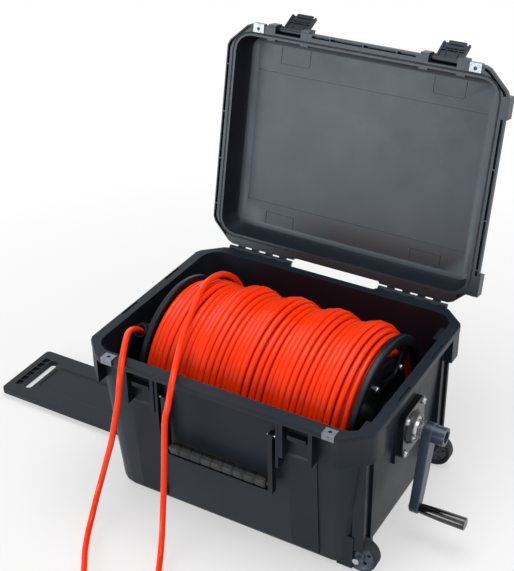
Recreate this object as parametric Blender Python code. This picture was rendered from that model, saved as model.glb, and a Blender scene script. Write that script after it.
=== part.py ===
"""Cable reel: a drum of cable with a crank, built into a moulded wheeled case with a hinged lid.

Metres, +Z up. X runs along the front of the case, Y from front to back, and the origin is
on the ground under the middle of the case. The lid is open, the tow handle is pulled out
and the two free ends of the cable hang over the front rim.
"""
import bpy
import bmesh
import numpy as np
from math import cos, pi, radians, sin
from mathutils import Matrix, Vector

# Case, measured outside
RIM_LENGTH = 0.650
RIM_WIDTH = 0.508
RIM_Z = 0.365
RIM_DEPTH = 0.015
RIM_CUT_X = 0.051
RIM_CUT_Y = 0.048
RIM_EASE = 0.007
BODY_TOP_LENGTH = 0.612
BODY_TOP_WIDTH = 0.464
BODY_BASE_LENGTH = 0.570
BODY_BASE_WIDTH = 0.416
BODY_CORNER = 0.045
BODY_BOTTOM_Z = 0.006
WALL = 0.004
GAP = 0.0003

# Lid, in its own closed frame with the hinge axis as origin
HINGE_Y = 0.2615
HINGE_Z = 0.362
LID_OPEN = radians(102.0)
LID_RIM_Z = 0.0038
LID_HEIGHT = 0.067
LID_CORNER = 0.040
HINGE_INNER_X = 0.108
HINGE_OUTER_X = 0.270
HINGE_KNUCKLES = 9
KNUCKLE_RADIUS = 0.006
HINGE_PIN_RADIUS = 0.0025

# Drum and cable
AXIS_Z = 0.235
DRUM_X = 0.006
FLANGE_RADIUS = 0.1755
FLANGE_THICKNESS = 0.012
DRUM_INSIDE = 0.472
BARREL_RADIUS = 0.120
BARREL_BORE = 0.094
SHAFT_RADIUS = 0.0125
SHAFT_START_X = -0.325
SHAFT_END_X = 0.374
CABLE_DIAMETER = 0.013
CABLE_RADIUS = CABLE_DIAMETER / 2
INNER_LAYERS_RADIUS = 0.1642
OUTER_LAYER_INSIDE = 0.166
WOUND_LOOPS = 19
POINTS_PER_LOOP = 24
BUNCHES = 5
BUNCH_SHIFT = 0.0040
BUNCH_LIFT = 0.0035
CUTOUT_DEGREES = (20.0, 77.0, 200.0, 257.0)
CUTOUT_INNER = 0.088
CUTOUT_OUTER = 0.1535
CUTOUT_SPAN = radians(44.0)
WEB_RECESS = 0.005
TIE_BOLT_CIRCLE = 0.107
TIE_BOLT_DEGREES = (48.5, 115.0, 228.5, 295.0)

# Bearings outside the two end walls
PAD_X = 0.3020
PLATE_THICKNESS = 0.0125
PLATE_SIZE = 0.104
BOLT_SPACING = 0.080

# Crank
CRANK_RADIUS = 0.165
CRANK_ANGLE = radians(-107.4)
CRANK_X = 0.339
CRANK_THICKNESS = 0.020
HUB_LENGTH = 0.046
GRIP_LENGTH = 0.098

# Wheels
WHEEL_X = 0.296
WHEEL_Y = 0.188
WHEEL_Z = 0.0405
WHEEL_RADIUS = 0.038
WHEEL_WIDTH = 0.024

# Tow handle
TOW_OUTER_X = -0.715
TOW_LENGTH = 0.520
TOW_WIDTH = 0.181
TOW_BOTTOM_Z = 0.0100
TOW_TOP_Z = 0.0255
TOW_CHANNEL_TOP_Z = 0.0285
TOW_COVER_TOP_Z = 0.0057

# Front handle and latches
HANDLE_PIVOT_Y = -0.2395
HANDLE_PIVOT_Z = 0.306
HANDLE_DROP = 0.121
HANDLE_HALF_WIDTH = 0.127
LATCH_X = 0.178
LATCH_WIDTH = 0.060
LATCH_LENGTH = 0.060
LATCH_PIVOT_Y = -0.5095
LATCH_PIVOT_Z = 0.0215
LATCH_OPEN = radians(-144.5)
TRIGGER_PIVOT_Y = -0.0102
TRIGGER_PIVOT_Z = -0.0470
HASP_X = 0.249
HASP_WIDTH = 0.026

# Guide tube of the inner cable end, on the left wall
GUIDE_X = -0.270
GUIDE_MOUTH = (-0.270, -0.108, 0.343)
GUIDE_LENGTH = 0.070
GUIDE_OUTER = 0.0150
GUIDE_BORE = 0.0122
GUIDE_DEPTH = 0.035

# Routes of the two free ends, chosen by hand: over the rim, down the front, along the ground
LEFT_TAIL = [
    (-0.2700, -0.0840, 0.3190), (-0.2700, -0.0960, 0.3310), (-0.2700, -0.1085, 0.3430),
    (-0.2690, -0.1240, 0.3560), (-0.2650, -0.1440, 0.3670), (-0.2570, -0.1660, 0.3750),
    (-0.2460, -0.1880, 0.3785), (-0.2350, -0.2080, 0.3797), (-0.2250, -0.2260, 0.3797),
    (-0.2130, -0.2480, 0.3780), (-0.2040, -0.2660, 0.3700), (-0.1980, -0.2800, 0.3540),
    (-0.1975, -0.2870, 0.3300), (-0.2002, -0.2890, 0.3039), (-0.2122, -0.2900, 0.2506),
    (-0.2260, -0.2900, 0.1935), (-0.2447, -0.2900, 0.1333), (-0.2580, -0.2935, 0.0850),
    (-0.2605, -0.3130, 0.0480), (-0.2520, -0.3450, 0.0220), (-0.2360, -0.3830, 0.0098),
    (-0.2120, -0.4250, 0.0080), (-0.1850, -0.4640, 0.0080), (-0.1620, -0.5020, 0.0085),
    (-0.1480, -0.5350, 0.0140), (-0.1420, -0.5600, 0.0171), (-0.1370, -0.5850, 0.0172),
]
RIGHT_TAIL_TURN = [(-40, -0.1860), (-15, -0.1860), (10, -0.1858), (35, -0.1850), (60, -0.1825), (82, -0.1775),
                   (98, -0.1680)]
RIGHT_TAIL = [
    (-0.1540, -0.0770, 0.4140), (-0.1400, -0.1290, 0.4030), (-0.1200, -0.1820, 0.3920),
    (-0.1030, -0.2220, 0.3845), (-0.0930, -0.2440, 0.3805), (-0.0845, -0.2650, 0.3715),
    (-0.0795, -0.2810, 0.3560), (-0.0785, -0.2920, 0.3330), (-0.0824, -0.2985, 0.3036),
    (-0.0868, -0.3010, 0.2291), (-0.0927, -0.3010, 0.1489), (-0.0950, -0.3050, 0.0980),
    (-0.0905, -0.3180, 0.0580), (-0.0800, -0.3400, 0.0280), (-0.0660, -0.3680, 0.0105),
    (-0.0500, -0.3970, 0.0080), (-0.0350, -0.4280, 0.0085), (-0.0240, -0.4560, 0.0140),
    (-0.0170, -0.4800, 0.0171), (-0.0100, -0.5050, 0.0172),
]
TAIL_STEP = 0.025
CONNECTOR_LENGTH = 0.095
CONNECTOR_RADIUS = 0.0165


def clear_scene():
    """Removes every object of the file, so that the script can be run again."""
    for obj in list(bpy.data.objects):
        bpy.data.objects.remove(obj, do_unlink=True)


def linear(hex_colour):
    """Turns an sRGB hex colour into linear RGBA."""
    values = [int(hex_colour[i:i + 2], 16) / 255 for i in (1, 3, 5)]
    return [v / 12.92 if v <= 0.04045 else ((v + 0.055) / 1.055) ** 2.4 for v in values] + [1.0]


def make_material(name, hex_colour, roughness, metallic=0.0):
    material = bpy.data.materials.new(name)
    material.use_nodes = True
    shader = material.node_tree.nodes["Principled BSDF"]
    shader.inputs["Base Color"].default_value = linear(hex_colour)
    shader.inputs["Roughness"].default_value = roughness
    shader.inputs["Metallic"].default_value = metallic
    material.diffuse_color = linear(hex_colour)
    return material


def make_materials():
    return {
        "case": make_material("case_polypropylene", "#26292E", 0.48),
        "moving": make_material("latch_nylon", "#191B1E", 0.42),
        "rubber": make_material("seal_rubber", "#17181A", 0.75),
        "steel": make_material("stainless_steel", "#C9CBCC", 0.28, 1.0),
        "iron": make_material("cast_bearing_housing", "#101113", 0.40, 0.4),
        "crank": make_material("crank_painted_iron", "#3F506B", 0.38, 0.6),
        "grip": make_material("grip_phenolic", "#0B0B0C", 0.12),
        "drum": make_material("drum_plastic", "#15171A", 0.38),
        "cable": make_material("cable_jacket", "#FF4713", 0.32),
        "wheel": make_material("wheel_nylon", "#3A4250", 0.45),
        "tyre": make_material("tyre_rubber", "#1E2024", 0.60),
    }


def to_mesh(name, bm):
    bmesh.ops.recalc_face_normals(bm, faces=bm.faces)
    mesh = bpy.data.meshes.new(name)
    bm.to_mesh(mesh)
    bm.free()
    return mesh


def add_object(name, mesh, material=None, parent=None, smooth=False):
    """Adds a named piece; its mesh is in the frame of its parent."""
    obj = bpy.data.objects.new(name, mesh)
    bpy.context.scene.collection.objects.link(obj)
    if material is not None:
        mesh.materials.clear()
        mesh.materials.append(material)
    if parent is not None:
        obj.parent = parent
    if smooth:
        mesh.shade_smooth()
        mesh.set_sharp_from_angle(angle=radians(35))
    return obj


def add_empty(name, location, rotation=(0, 0, 0), parent=None):
    empty = bpy.data.objects.new(name, None)
    bpy.context.scene.collection.objects.link(empty)
    empty.empty_display_size = 0.03
    empty.location = location
    empty.rotation_euler = rotation
    empty.parent = parent
    return empty


def combine(target, guide, operation):
    """Joins a hidden guide to a piece, or cuts it out of the piece."""
    guide.hide_render = True
    guide.display_type = "WIRE"
    if target.parent is not None and guide.parent is None:
        guide.parent = target.parent
    boolean = target.modifiers.new(guide.name, "BOOLEAN")
    boolean.operation = operation
    boolean.solver = "EXACT"
    boolean.use_self = True
    boolean.object = guide


def box_into(bm, low, high):
    """Adds an axis-aligned block to a bmesh."""
    size = Vector(high) - Vector(low)
    middle = (Vector(high) + Vector(low)) / 2
    matrix = Matrix.Translation(middle) @ Matrix.Diagonal((*size, 1.0))
    bmesh.ops.create_cube(bm, size=1.0, matrix=matrix)


def boxes(name, blocks, material=None, parent=None):
    bm = bmesh.new()
    for low, high in blocks:
        box_into(bm, low, high)
    return add_object(name, to_mesh(name, bm), material, parent)


def rod_into(bm, start, end, radius, segments=16, end_radius=None):
    """Adds a round bar between two points to a bmesh."""
    start, end = Vector(start), Vector(end)
    axis = end - start
    turn = Vector((0, 0, 1)).rotation_difference(axis).to_matrix().to_4x4()
    matrix = Matrix.Translation((start + end) / 2) @ turn
    bmesh.ops.create_cone(bm, cap_ends=True, segments=segments, radius1=radius,
                          radius2=radius if end_radius is None else end_radius,
                          depth=axis.length, matrix=matrix)


def rods(name, bars, material=None, parent=None, segments=16, smooth=True):
    bm = bmesh.new()
    for start, end, radius in bars:
        rod_into(bm, start, end, radius, segments)
    return add_object(name, to_mesh(name, bm), material, parent, smooth)


def turned(name, profile, material=None, parent=None, segments=32, centre=(0, 0, 0), axis="X"):
    """Turns a closed profile of (position along the axis, radius) pairs about X, Y or Z."""
    bm = bmesh.new()
    axis_points = {}
    rings = []
    for step in range(segments):
        angle = 2 * pi * step / segments
        ring = []
        for index, (along, radius) in enumerate(profile):
            a, b = radius * cos(angle), radius * sin(angle)
            point = Vector({"X": (along, a, b), "Y": (a, along, b), "Z": (a, b, along)}[axis]) + Vector(centre)
            if radius > 0.0:
                ring.append(bm.verts.new(point))
                continue
            if index not in axis_points:
                axis_points[index] = bm.verts.new(point)
            ring.append(axis_points[index])
        rings.append(ring)
    count = len(profile)
    for step in range(segments):
        here, there = rings[step], rings[(step + 1) % segments]
        for i in range(count):
            j = (i + 1) % count
            corners = list(dict.fromkeys((here[i], here[j], there[j], there[i])))
            if len(corners) > 2:
                bm.faces.new(corners)
    return add_object(name, to_mesh(name, bm), material, parent, True)


def rounded_outline(length, width, radius, centre=(0.0, 0.0)):
    """Rounded rectangle with five points at each corner."""
    points = []
    for corner, (sx, sy) in enumerate(((1, 1), (-1, 1), (-1, -1), (1, -1))):
        cx = sx * (length / 2 - radius)
        cy = sy * (width / 2 - radius)
        for step in range(5):
            angle = corner * pi / 2 + step * pi / 8
            points.append((centre[0] + cx + radius * cos(angle), centre[1] + cy + radius * sin(angle)))
    return points


def chamfered_outline(length, width, cut_x, cut_y, ease, centre=(0.0, 0.0)):
    """Rectangle with cut and eased corners, five points at each corner."""
    points = []
    slope = Vector((-cut_x, cut_y)).normalized() * ease
    for corner, (sx, sy) in enumerate(((1, 1), (-1, 1), (-1, -1), (1, -1))):
        side = (length / 2, width / 2 - cut_y)
        end = (length / 2 - cut_x, width / 2)
        local = [(side[0], side[1] - ease), (side[0] + slope.x, side[1] + slope.y),
                 ((side[0] + end[0]) / 2, (side[1] + end[1]) / 2),
                 (end[0] - slope.x, end[1] - slope.y), (end[0] - ease, end[1])]
        if corner % 2:
            local.reverse()
        points.extend((centre[0] + sx * x, centre[1] + sy * y) for x, y in local)
    return points


def loft(name, rings, material=None, parent=None, closed=False):
    """Skins rings of (outline, height) pairs; a closed loft is a ring-shaped body."""
    bm = bmesh.new()
    loops = [[bm.verts.new((x, y, z)) for x, y in outline] for outline, z in rings]
    pairs = list(zip(loops, loops[1:]))
    if closed:
        pairs.append((loops[-1], loops[0]))
    for lower, upper in pairs:
        for i in range(len(lower)):
            j = (i + 1) % len(lower)
            bm.faces.new((lower[i], lower[j], upper[j], upper[i]))
    if not closed:
        bm.faces.new(list(reversed(loops[0])))
        bm.faces.new(loops[-1])
    return add_object(name, to_mesh(name, bm), material, parent)


def body_length(z):
    return BODY_BASE_LENGTH + (BODY_TOP_LENGTH - BODY_BASE_LENGTH) * z / RIM_Z


def body_width(z):
    return BODY_BASE_WIDTH + (BODY_TOP_WIDTH - BODY_BASE_WIDTH) * z / RIM_Z


def body_outline(z, inset=0.0):
    radius = max(BODY_CORNER - inset, 0.006)
    return rounded_outline(body_length(z) - 2 * inset, body_width(z) - 2 * inset, radius)


def rim_outline(inset=0.0, centre=(0.0, 0.0)):
    """The outer rim of base and lid, or a line parallel to it further in."""
    return chamfered_outline(RIM_LENGTH - 2 * inset, RIM_WIDTH - 2 * inset, RIM_CUT_X - 0.59 * inset,
                             RIM_CUT_Y - 0.59 * inset, RIM_EASE, centre)


def prism(name, outline, z0, z1, parent=None):
    return loft(name, [(outline, z0), (outline, z1)], None, parent)


def make_base_tub(material):
    """Drafted tub with an outward rim flange, as one wall with an outside and an inside."""
    under_rim = RIM_Z - RIM_DEPTH
    inside = WALL
    rings = [
        (body_outline(BODY_BOTTOM_Z, 0.012), BODY_BOTTOM_Z),
        (body_outline(BODY_BOTTOM_Z, 0.004), BODY_BOTTOM_Z + 0.003),
        (body_outline(BODY_BOTTOM_Z + 0.011), BODY_BOTTOM_Z + 0.011),
        (body_outline(under_rim), under_rim),
        (rim_outline(0.001), under_rim),
        (rim_outline(), under_rim + 0.002),
        (rim_outline(), RIM_Z - 0.001),
        (rim_outline(0.001), RIM_Z),
        (body_outline(RIM_Z, inside), RIM_Z),
        (body_outline(BODY_BOTTOM_Z + 0.016, inside), BODY_BOTTOM_Z + 0.016),
        (body_outline(BODY_BOTTOM_Z + 0.005, inside + 0.010), BODY_BOTTOM_Z + 0.004),
    ]
    return loft("base_shell", rings, material)


def add_base_additions(base):
    """Blocks moulded onto the tub: tow channel, wheel boxes, pads, posts, rails and skids."""
    half_channel = TOW_WIDTH / 2 + 0.0075
    blocks = [
        ((-0.279, -half_channel, 0.0075), (0.262, half_channel, TOW_CHANNEL_TOP_Z + 0.0035)),
    ]
    front = body_width(0.3) / 2
    for side in (-1, 1):
        wheel_low, wheel_high = sorted((side * 0.168, side * 0.2055))
        blocks.append(((0.250, wheel_low, 0.0075), (0.2845, wheel_high, 0.088)))
        rail_low, rail_high = sorted((side * 0.158, side * 0.2035))
        blocks.append(((0.281, rail_low, 0.055), (0.3060, rail_high, 0.345)))
        pad = PAD_X - WALL / 2
        low_x, high_x = sorted((side * (body_length(0.2) / 2 - 0.003), side * PAD_X))
        blocks.append(((low_x, -0.058, AXIS_Z - 0.060), (high_x, 0.058, AXIS_Z + 0.060)))
        skid_low, skid_high = sorted((side * 0.151, side * 0.213))
        for skid_side in (-1, 1):
            y_low, y_high = sorted((skid_side * 0.1165, skid_side * 0.196))
            blocks.append(((skid_low, y_low, 0.0), (skid_high, y_high, 0.0085)))
        for rail_x in (0.1425, 0.2055):
            x_low, x_high = sorted((side * rail_x, side * (rail_x + 0.008)))
            blocks.append(((x_low, -0.2500, 0.268), (x_high, -front + 0.006, 0.3515)))
        x_low, x_high = sorted((side * 0.158, side * 0.198))
        blocks.append(((x_low, -0.2440, 0.3120), (x_high, -front + 0.004, 0.3220)))
        x_low, x_high = sorted((side * 0.1345, side * 0.1400))
        blocks.append(((x_low, -0.2480, 0.238), (x_high, -front + 0.008, 0.3515)))
        x_low, x_high = sorted((side * 0.1345, side * 0.1400))
    combine(base, boxes("base_additions", blocks), "UNION")


def add_corner_blocks(base):
    """Bumper blocks under the rim at the four corners, taller at the wheel end."""
    outline = rim_outline(0.0008)
    collar = prism("corner_collar", outline, 0.292, RIM_Z - 0.008)
    limits = []
    for side in (-1, 1):
        y_low, y_high = sorted((side * 0.165, side * 0.270))
        limits.append(((0.255, y_low, 0.285), (0.340, y_high, 0.362)))
        limits.append(((-0.340, y_low, 0.285), (-0.280, y_high, 0.362)))
    limit = boxes("corner_limit", limits)
    combine(collar, limit, "INTERSECT")
    inner = loft("corner_inner", [(body_outline(0.280, 0.002), 0.280), (body_outline(0.370, 0.002), 0.370)])
    combine(collar, inner, "DIFFERENCE")
    combine(base, collar, "UNION")


def add_front_band(base):
    """Two broad raised bands that run down the front and back walls over the skids."""
    bm = bmesh.new()
    for side in (-1, 1):
        for face in (-1, 1):
            corners = []
            for z, proud in ((0.0075, -0.006), (0.020, 0.0028), (0.262, 0.0028), (0.268, -0.001)):
                corners.append((z, face * (body_width(z) / 2 + proud)))
            corners += [(0.268, face * (body_width(0.268) / 2 - 0.002)),
                        (0.024, face * (body_width(0.024) / 2 - 0.002)),
                        (0.0075, face * (body_width(0.0075) / 2 - 0.012))]
            x_low, x_high = sorted((side * 0.151, side * 0.213))
            ends = [[bm.verts.new((x, y, z)) for z, y in corners] for x in (x_low, x_high)]
            count = len(corners)
            for i in range(count):
                j = (i + 1) % count
                bm.faces.new((ends[0][i], ends[0][j], ends[1][j], ends[1][i]))
            bm.faces.new(ends[0])
            bm.faces.new(ends[1])
    combine(base, add_object("front_band", to_mesh("front_band", bm)), "UNION")


def knuckle_spans(lid):
    """X spans of the hinge knuckles of the base or of the lid, for both hinges."""
    pitch = (HINGE_OUTER_X - HINGE_INNER_X) / HINGE_KNUCKLES
    spans = []
    for side in (-1, 1):
        for index in range(HINGE_KNUCKLES):
            if (index % 2 == 1) == lid:
                low = HINGE_INNER_X + index * pitch + GAP
                spans.append(sorted((side * low, side * (low + pitch - 2 * GAP))))
    return spans


def knuckles(name, lid, origin, parent=None):
    """Hinge barrels, each drawn with the web that carries it."""
    oy, oz = origin
    radius = KNUCKLE_RADIUS
    up = 1 if lid else -1
    outline = [(radius * cos(radians(a)), radius * sin(radians(a))) for a in (-130, -90, -45, 0, 45, 90, 130)]
    low_web, high_web = (0.0044, 0.0105) if lid else (0.0022, 0.0105)
    web = [(-0.0150, high_web), (-0.0150, low_web)]
    outline = [(y, z * up) for y, z in outline[2:5]] + [(y, z * up) for y, z in outline[5:6]]
    outline += [(-0.0035, up * high_web)] + [(y, up * z) for y, z in web]
    outline += [(-0.0050, up * low_web), (-radius, 0.0), (-0.0042, -up * 0.0042), (0.0, -up * radius)]
    bm = bmesh.new()
    for low, high in knuckle_spans(lid):
        ends = [[bm.verts.new((x, oy + y, oz + z)) for y, z in outline] for x in (low, high)]
        for i in range(len(outline)):
            j = (i + 1) % len(outline)
            bm.faces.new((ends[0][i], ends[0][j], ends[1][j], ends[1][i]))
        bm.faces.new(ends[0])
        bm.faces.new(ends[1])
    return add_object(name, to_mesh(name, bm), None, parent, True)


def cut_base(base):
    """Everything that is open in the tub."""
    half_channel = TOW_WIDTH / 2 + 0.0018
    cuts = [((-0.320, -half_channel, -0.010), (0.256, half_channel, TOW_CHANNEL_TOP_Z))]
    for side in (-1, 1):
        y_low, y_high = sorted((side * (WHEEL_Y - 0.0145), side * (WHEEL_Y + 0.0145)))
        cuts.append(((0.2560, y_low, -0.010), (0.345, y_high, 0.0815)))
        y_low, y_high = sorted((side * 0.1705, side * 0.1950))
        cuts.append(((0.2995, y_low, 0.070), (0.320, y_high, 0.286)))
        for x_side in (-1, 1):
            x_low, x_high = sorted((x_side * 0.3165, x_side * 0.3215))
            cuts.append(((x_low, -0.100, RIM_Z - 0.004), (x_high, -0.046, RIM_Z + 0.01)))
            cuts.append(((x_low, 0.062, RIM_Z - 0.0041), (x_high, 0.117, RIM_Z + 0.01)))
    combine(base, boxes("base_cuts", cuts), "DIFFERENCE")
    reach = 0.40
    bores = [((-reach, 0, AXIS_Z), (-0.26, 0, AXIS_Z), 0.0190), ((0.26, 0, AXIS_Z), (reach, 0, AXIS_Z), 0.0190)]
    combine(base, rods("base_bores", bores), "DIFFERENCE")
    small = []
    for side in (-1, 1):
        start, end = sorted((side * 0.150, side * 0.225))
        small.append(((WHEEL_X, start, WHEEL_Z), (WHEEL_X, end, WHEEL_Z), 0.0044))
        small.append(((side * 0.1300, HANDLE_PIVOT_Y, HANDLE_PIVOT_Z),
                      (side * 0.1450, HANDLE_PIVOT_Y, HANDLE_PIVOT_Z), 0.0034))
    combine(base, rods("base_small_bores", small, segments=8), "DIFFERENCE")
    notch = rounded_outline(2 * HINGE_INNER_X - 0.003, 0.016, 0.007, (0.0, RIM_WIDTH / 2))
    combine(base, prism("base_back_notch", notch, 0.30, 0.38), "DIFFERENCE")


def make_base(materials):
    base = make_base_tub(materials["case"])
    add_base_additions(base)
    add_front_band(base)
    add_corner_blocks(base)
    cut_base(base)
    barrels = knuckles("base_knuckles", False, (HINGE_Y, HINGE_Z))
    combine(base, barrels, "UNION")
    bores = [((side * 0.100, HINGE_Y, HINGE_Z), (side * 0.280, HINGE_Y, HINGE_Z), HINGE_PIN_RADIUS + GAP)
             for side in (-1, 1)]
    combine(base, rods("base_pin_bores", bores, segments=8), "DIFFERENCE")
    for side, word in ((-1, "left"), (1, "right")):
        ends = sorted((side * (HINGE_INNER_X - 0.0010), side * (HINGE_OUTER_X + 0.0010)))
        rods("hinge_pin_" + word, [((ends[0], HINGE_Y, HINGE_Z), (ends[1], HINGE_Y, HINGE_Z), HINGE_PIN_RADIUS)],
             materials["steel"], segments=8)
    return base


def lid_outline(inset=0.0, corner=LID_CORNER):
    """Outline of the lid's wall, centred in front of the hinge axis."""
    return rounded_outline(BODY_TOP_LENGTH - 2 * inset, BODY_TOP_WIDTH - 2 * inset, max(corner - inset, 0.006),
                           (0.0, -HINGE_Y))


def make_lid_shell(materials, parent):
    """Shallow drafted cover with its own rim flange, in the closed position."""
    top = LID_HEIGHT
    skirt = LID_RIM_Z + RIM_DEPTH
    centre = (0.0, -HINGE_Y)
    rings = [
        (lid_outline(0.024), top - WALL),
        (lid_outline(0.015), top - WALL - 0.003),
        (lid_outline(0.010), top - WALL - 0.012),
        (lid_outline(WALL), LID_RIM_Z),
        (rim_outline(0.001, centre), LID_RIM_Z),
        (rim_outline(0.0, centre), LID_RIM_Z + 0.001),
        (rim_outline(0.0, centre), skirt - 0.002),
        (rim_outline(0.002, centre), skirt),
        (lid_outline(), skirt),
        (lid_outline(0.006), top - 0.010),
        (lid_outline(0.010), top - 0.003),
        (lid_outline(0.017), top),
    ]
    return loft("lid_shell", rings, materials["case"], parent)


def lid_channel(lid, parent):
    """Open channel in the underside of the lid's rim, crossed by ribs."""
    centre = (0.0, -HINGE_Y)
    outer, inner = rim_outline(0.0030, centre), rim_outline(0.0085, centre)
    deep = LID_RIM_Z + 0.0095
    ring = loft("lid_channel", [(outer, -0.01), (outer, deep), (inner, deep), (inner, -0.01)], None, parent,
                closed=True)
    ribs = []
    for along in (0.095, 0.203, 0.312, 0.419):
        for side in (-1, 1):
            x_low, x_high = sorted((side * 0.3100, side * 0.3300))
            ribs.append(((x_low, -along - 0.0012, -0.02), (x_high, -along + 0.0012, 0.03)))
    front = -HINGE_Y - RIM_WIDTH / 2
    for x in (-0.077, 0.0, 0.077):
        ribs.append(((x - 0.0012, front - 0.004, -0.02), (x + 0.0012, front + 0.016, 0.03)))
    for side in (-1, 1):
        x_low, x_high = sorted((side * 0.120, side * 0.268))
        ribs.append(((x_low, front - 0.004, -0.02), (x_high, front + 0.016, 0.03)))
    ribs.append(((-0.285, -0.030, -0.02), (0.285, -0.002, 0.03)))
    combine(ring, boxes("lid_channel_ribs", ribs, parent=parent), "DIFFERENCE")
    combine(lid, ring, "DIFFERENCE")


def lid_panel_grooves(lid, parent):
    """Two long grooves and four U-shaped outlines pressed into the inside of the lid."""
    panel = LID_HEIGHT - WALL
    low, high = panel - 0.010, panel + 0.0014
    cuts = [((-0.270, -0.1085, low), (0.270, -0.1055, high)), ((-0.270, -0.4105, low), (0.270, -0.4075, high))]
    for side in (-1, 1):
        for edge, reach in ((-0.0560, -0.0840), (-0.4670, -0.4320)):
            line = -0.001 if reach < edge else 0.001
            y_low, y_high = sorted((edge, reach))
            for x in (side * 0.1460, side * 0.2170):
                cuts.append(((x - 0.001, y_low, low), (x + 0.001, y_high, high)))
            x_low, x_high = sorted((side * 0.1460, side * 0.2170))
            y_low, y_high = sorted((reach, reach + 2 * line))
            cuts.append(((x_low, y_low, low - 0.0001), (x_high, y_high, high + 0.0001)))
    combine(lid, boxes("lid_pressed_lines", cuts, parent=parent), "DIFFERENCE")


def add_lid_fittings(lid, parent):
    """Latch ears, bumper lugs and hinge barrels moulded onto the lid."""
    front = -HINGE_Y - RIM_WIDTH / 2
    blocks = []
    for side in (-1, 1):
        for word in (-1, 1):
            x_inner = side * LATCH_X + word * (LATCH_WIDTH / 2 + 0.0012)
            x_outer = side * LATCH_X + word * (LATCH_WIDTH / 2 + 0.020)
            x_low, x_high = sorted((x_inner, x_outer))
            blocks.append(((x_low, front - 0.0045, 0.0062), (x_high, front + 0.030, 0.0345)))
    for low_y, high_y in ((-0.462, -0.416), (-0.082, -0.036)):
        blocks.append(((0.300, low_y, LID_RIM_Z), (0.3300, high_y, 0.0300)))
    combine(lid, boxes("lid_additions", blocks, parent=parent), "UNION")
    barrels = knuckles("lid_knuckles", True, (0.0, 0.0), parent)
    combine(lid, barrels, "UNION")
    cuts = [((side * LATCH_X - LATCH_WIDTH / 2 - 0.0012, front - 0.010, -0.010),
             (side * LATCH_X + LATCH_WIDTH / 2 + 0.0012, front + 0.0135, 0.040)) for side in (-1, 1)]
    combine(lid, boxes("lid_latch_bays", cuts, parent=parent), "DIFFERENCE")
    bores = []
    for side in (-1, 1):
        bores.append(((side * 0.100, 0, 0), (side * 0.280, 0, 0), HINGE_PIN_RADIUS + GAP))
        x = side * LATCH_X
        bores.append(((x - 0.0440, LATCH_PIVOT_Y, LATCH_PIVOT_Z), (x + 0.0440, LATCH_PIVOT_Y, LATCH_PIVOT_Z), 0.0025))
    combine(lid, rods("lid_bores", bores, parent=parent, segments=8), "DIFFERENCE")
    notch = rounded_outline(2 * HINGE_INNER_X - 0.003, 0.016, 0.007, (0.0, -HINGE_Y + RIM_WIDTH / 2))
    combine(lid, prism("lid_back_notch", notch, -0.02, 0.0170, parent), "DIFFERENCE")


def make_lid(materials, parent):
    lid = make_lid_shell(materials, parent)
    lid_channel(lid, parent)
    lid_panel_grooves(lid, parent)
    add_lid_fittings(lid, parent)
    seat_outer = rounded_outline(BODY_TOP_LENGTH + 0.0095, BODY_TOP_WIDTH + 0.0095, BODY_CORNER, (0.0, -HINGE_Y))
    seat_inner = rounded_outline(BODY_TOP_LENGTH + 0.0015, BODY_TOP_WIDTH + 0.0015, BODY_CORNER - 0.004,
                                 (0.0, -HINGE_Y))
    deep = LID_RIM_Z + 0.0030
    seat = loft("seal_seat", [(seat_outer, -0.01), (seat_outer, deep), (seat_inner, deep), (seat_inner, -0.01)],
                None, parent, closed=True)
    combine(lid, seat, "DIFFERENCE")
    bead_outer = rounded_outline(BODY_TOP_LENGTH + 0.0087, BODY_TOP_WIDTH + 0.0087, BODY_CORNER - 0.0004,
                                 (0.0, -HINGE_Y))
    bead_inner = rounded_outline(BODY_TOP_LENGTH + 0.0023, BODY_TOP_WIDTH + 0.0023, BODY_CORNER - 0.0036,
                                 (0.0, -HINGE_Y))
    low, high = LID_RIM_Z - 0.0005, deep - GAP
    loft("lid_seal", [(bead_outer, low), (bead_outer, high), (bead_inner, high), (bead_inner, low)],
         materials["rubber"], parent, closed=True)
    return lid


def make_hasps(materials, lid_hinge):
    """Stainless padlock plates, one pair on the base rim and one pair on the lid rim."""
    for side, word in ((-1, "left"), (1, "right")):
        x_low, x_high = side * HASP_X - HASP_WIDTH / 2, side * HASP_X + HASP_WIDTH / 2
        front = -RIM_WIDTH / 2
        plate = boxes("hasp_base_" + word, [((x_low, front - 0.0028, RIM_Z - 0.0120), (x_high, front - 0.0003, RIM_Z + 0.0021))],
                      materials["steel"])
        top = boxes("hasp_base_top_" + word, [((x_low, front - 0.0020, RIM_Z + 0.0003), (x_high, front + 0.0180, RIM_Z + 0.0021))])
        combine(plate, top, "UNION")
        hole = rods("hasp_base_hole_" + word, [((side * HASP_X, front + 0.0085, RIM_Z - 0.01),
                                                (side * HASP_X, front + 0.0085, RIM_Z + 0.01), 0.0038)])
        combine(plate, hole, "DIFFERENCE")
        front = -HINGE_Y - RIM_WIDTH / 2
        low = LID_RIM_Z - 0.0021
        plate = boxes("hasp_lid_" + word, [((x_low, front - 0.0028, low), (x_high, front - 0.0003, low + 0.0140))],
                      materials["steel"], lid_hinge)
        top = boxes("hasp_lid_top_" + word, [((x_low, front - 0.0020, low), (x_high, front + 0.0165, low + 0.0018))],
                    parent=lid_hinge)
        combine(plate, top, "UNION")
        hole = rods("hasp_lid_hole_" + word, [((side * HASP_X, front + 0.0085, low - 0.01),
                                               (side * HASP_X, front + 0.0085, low + 0.01), 0.0038)],
                    parent=lid_hinge)
        combine(plate, hole, "DIFFERENCE")


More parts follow.
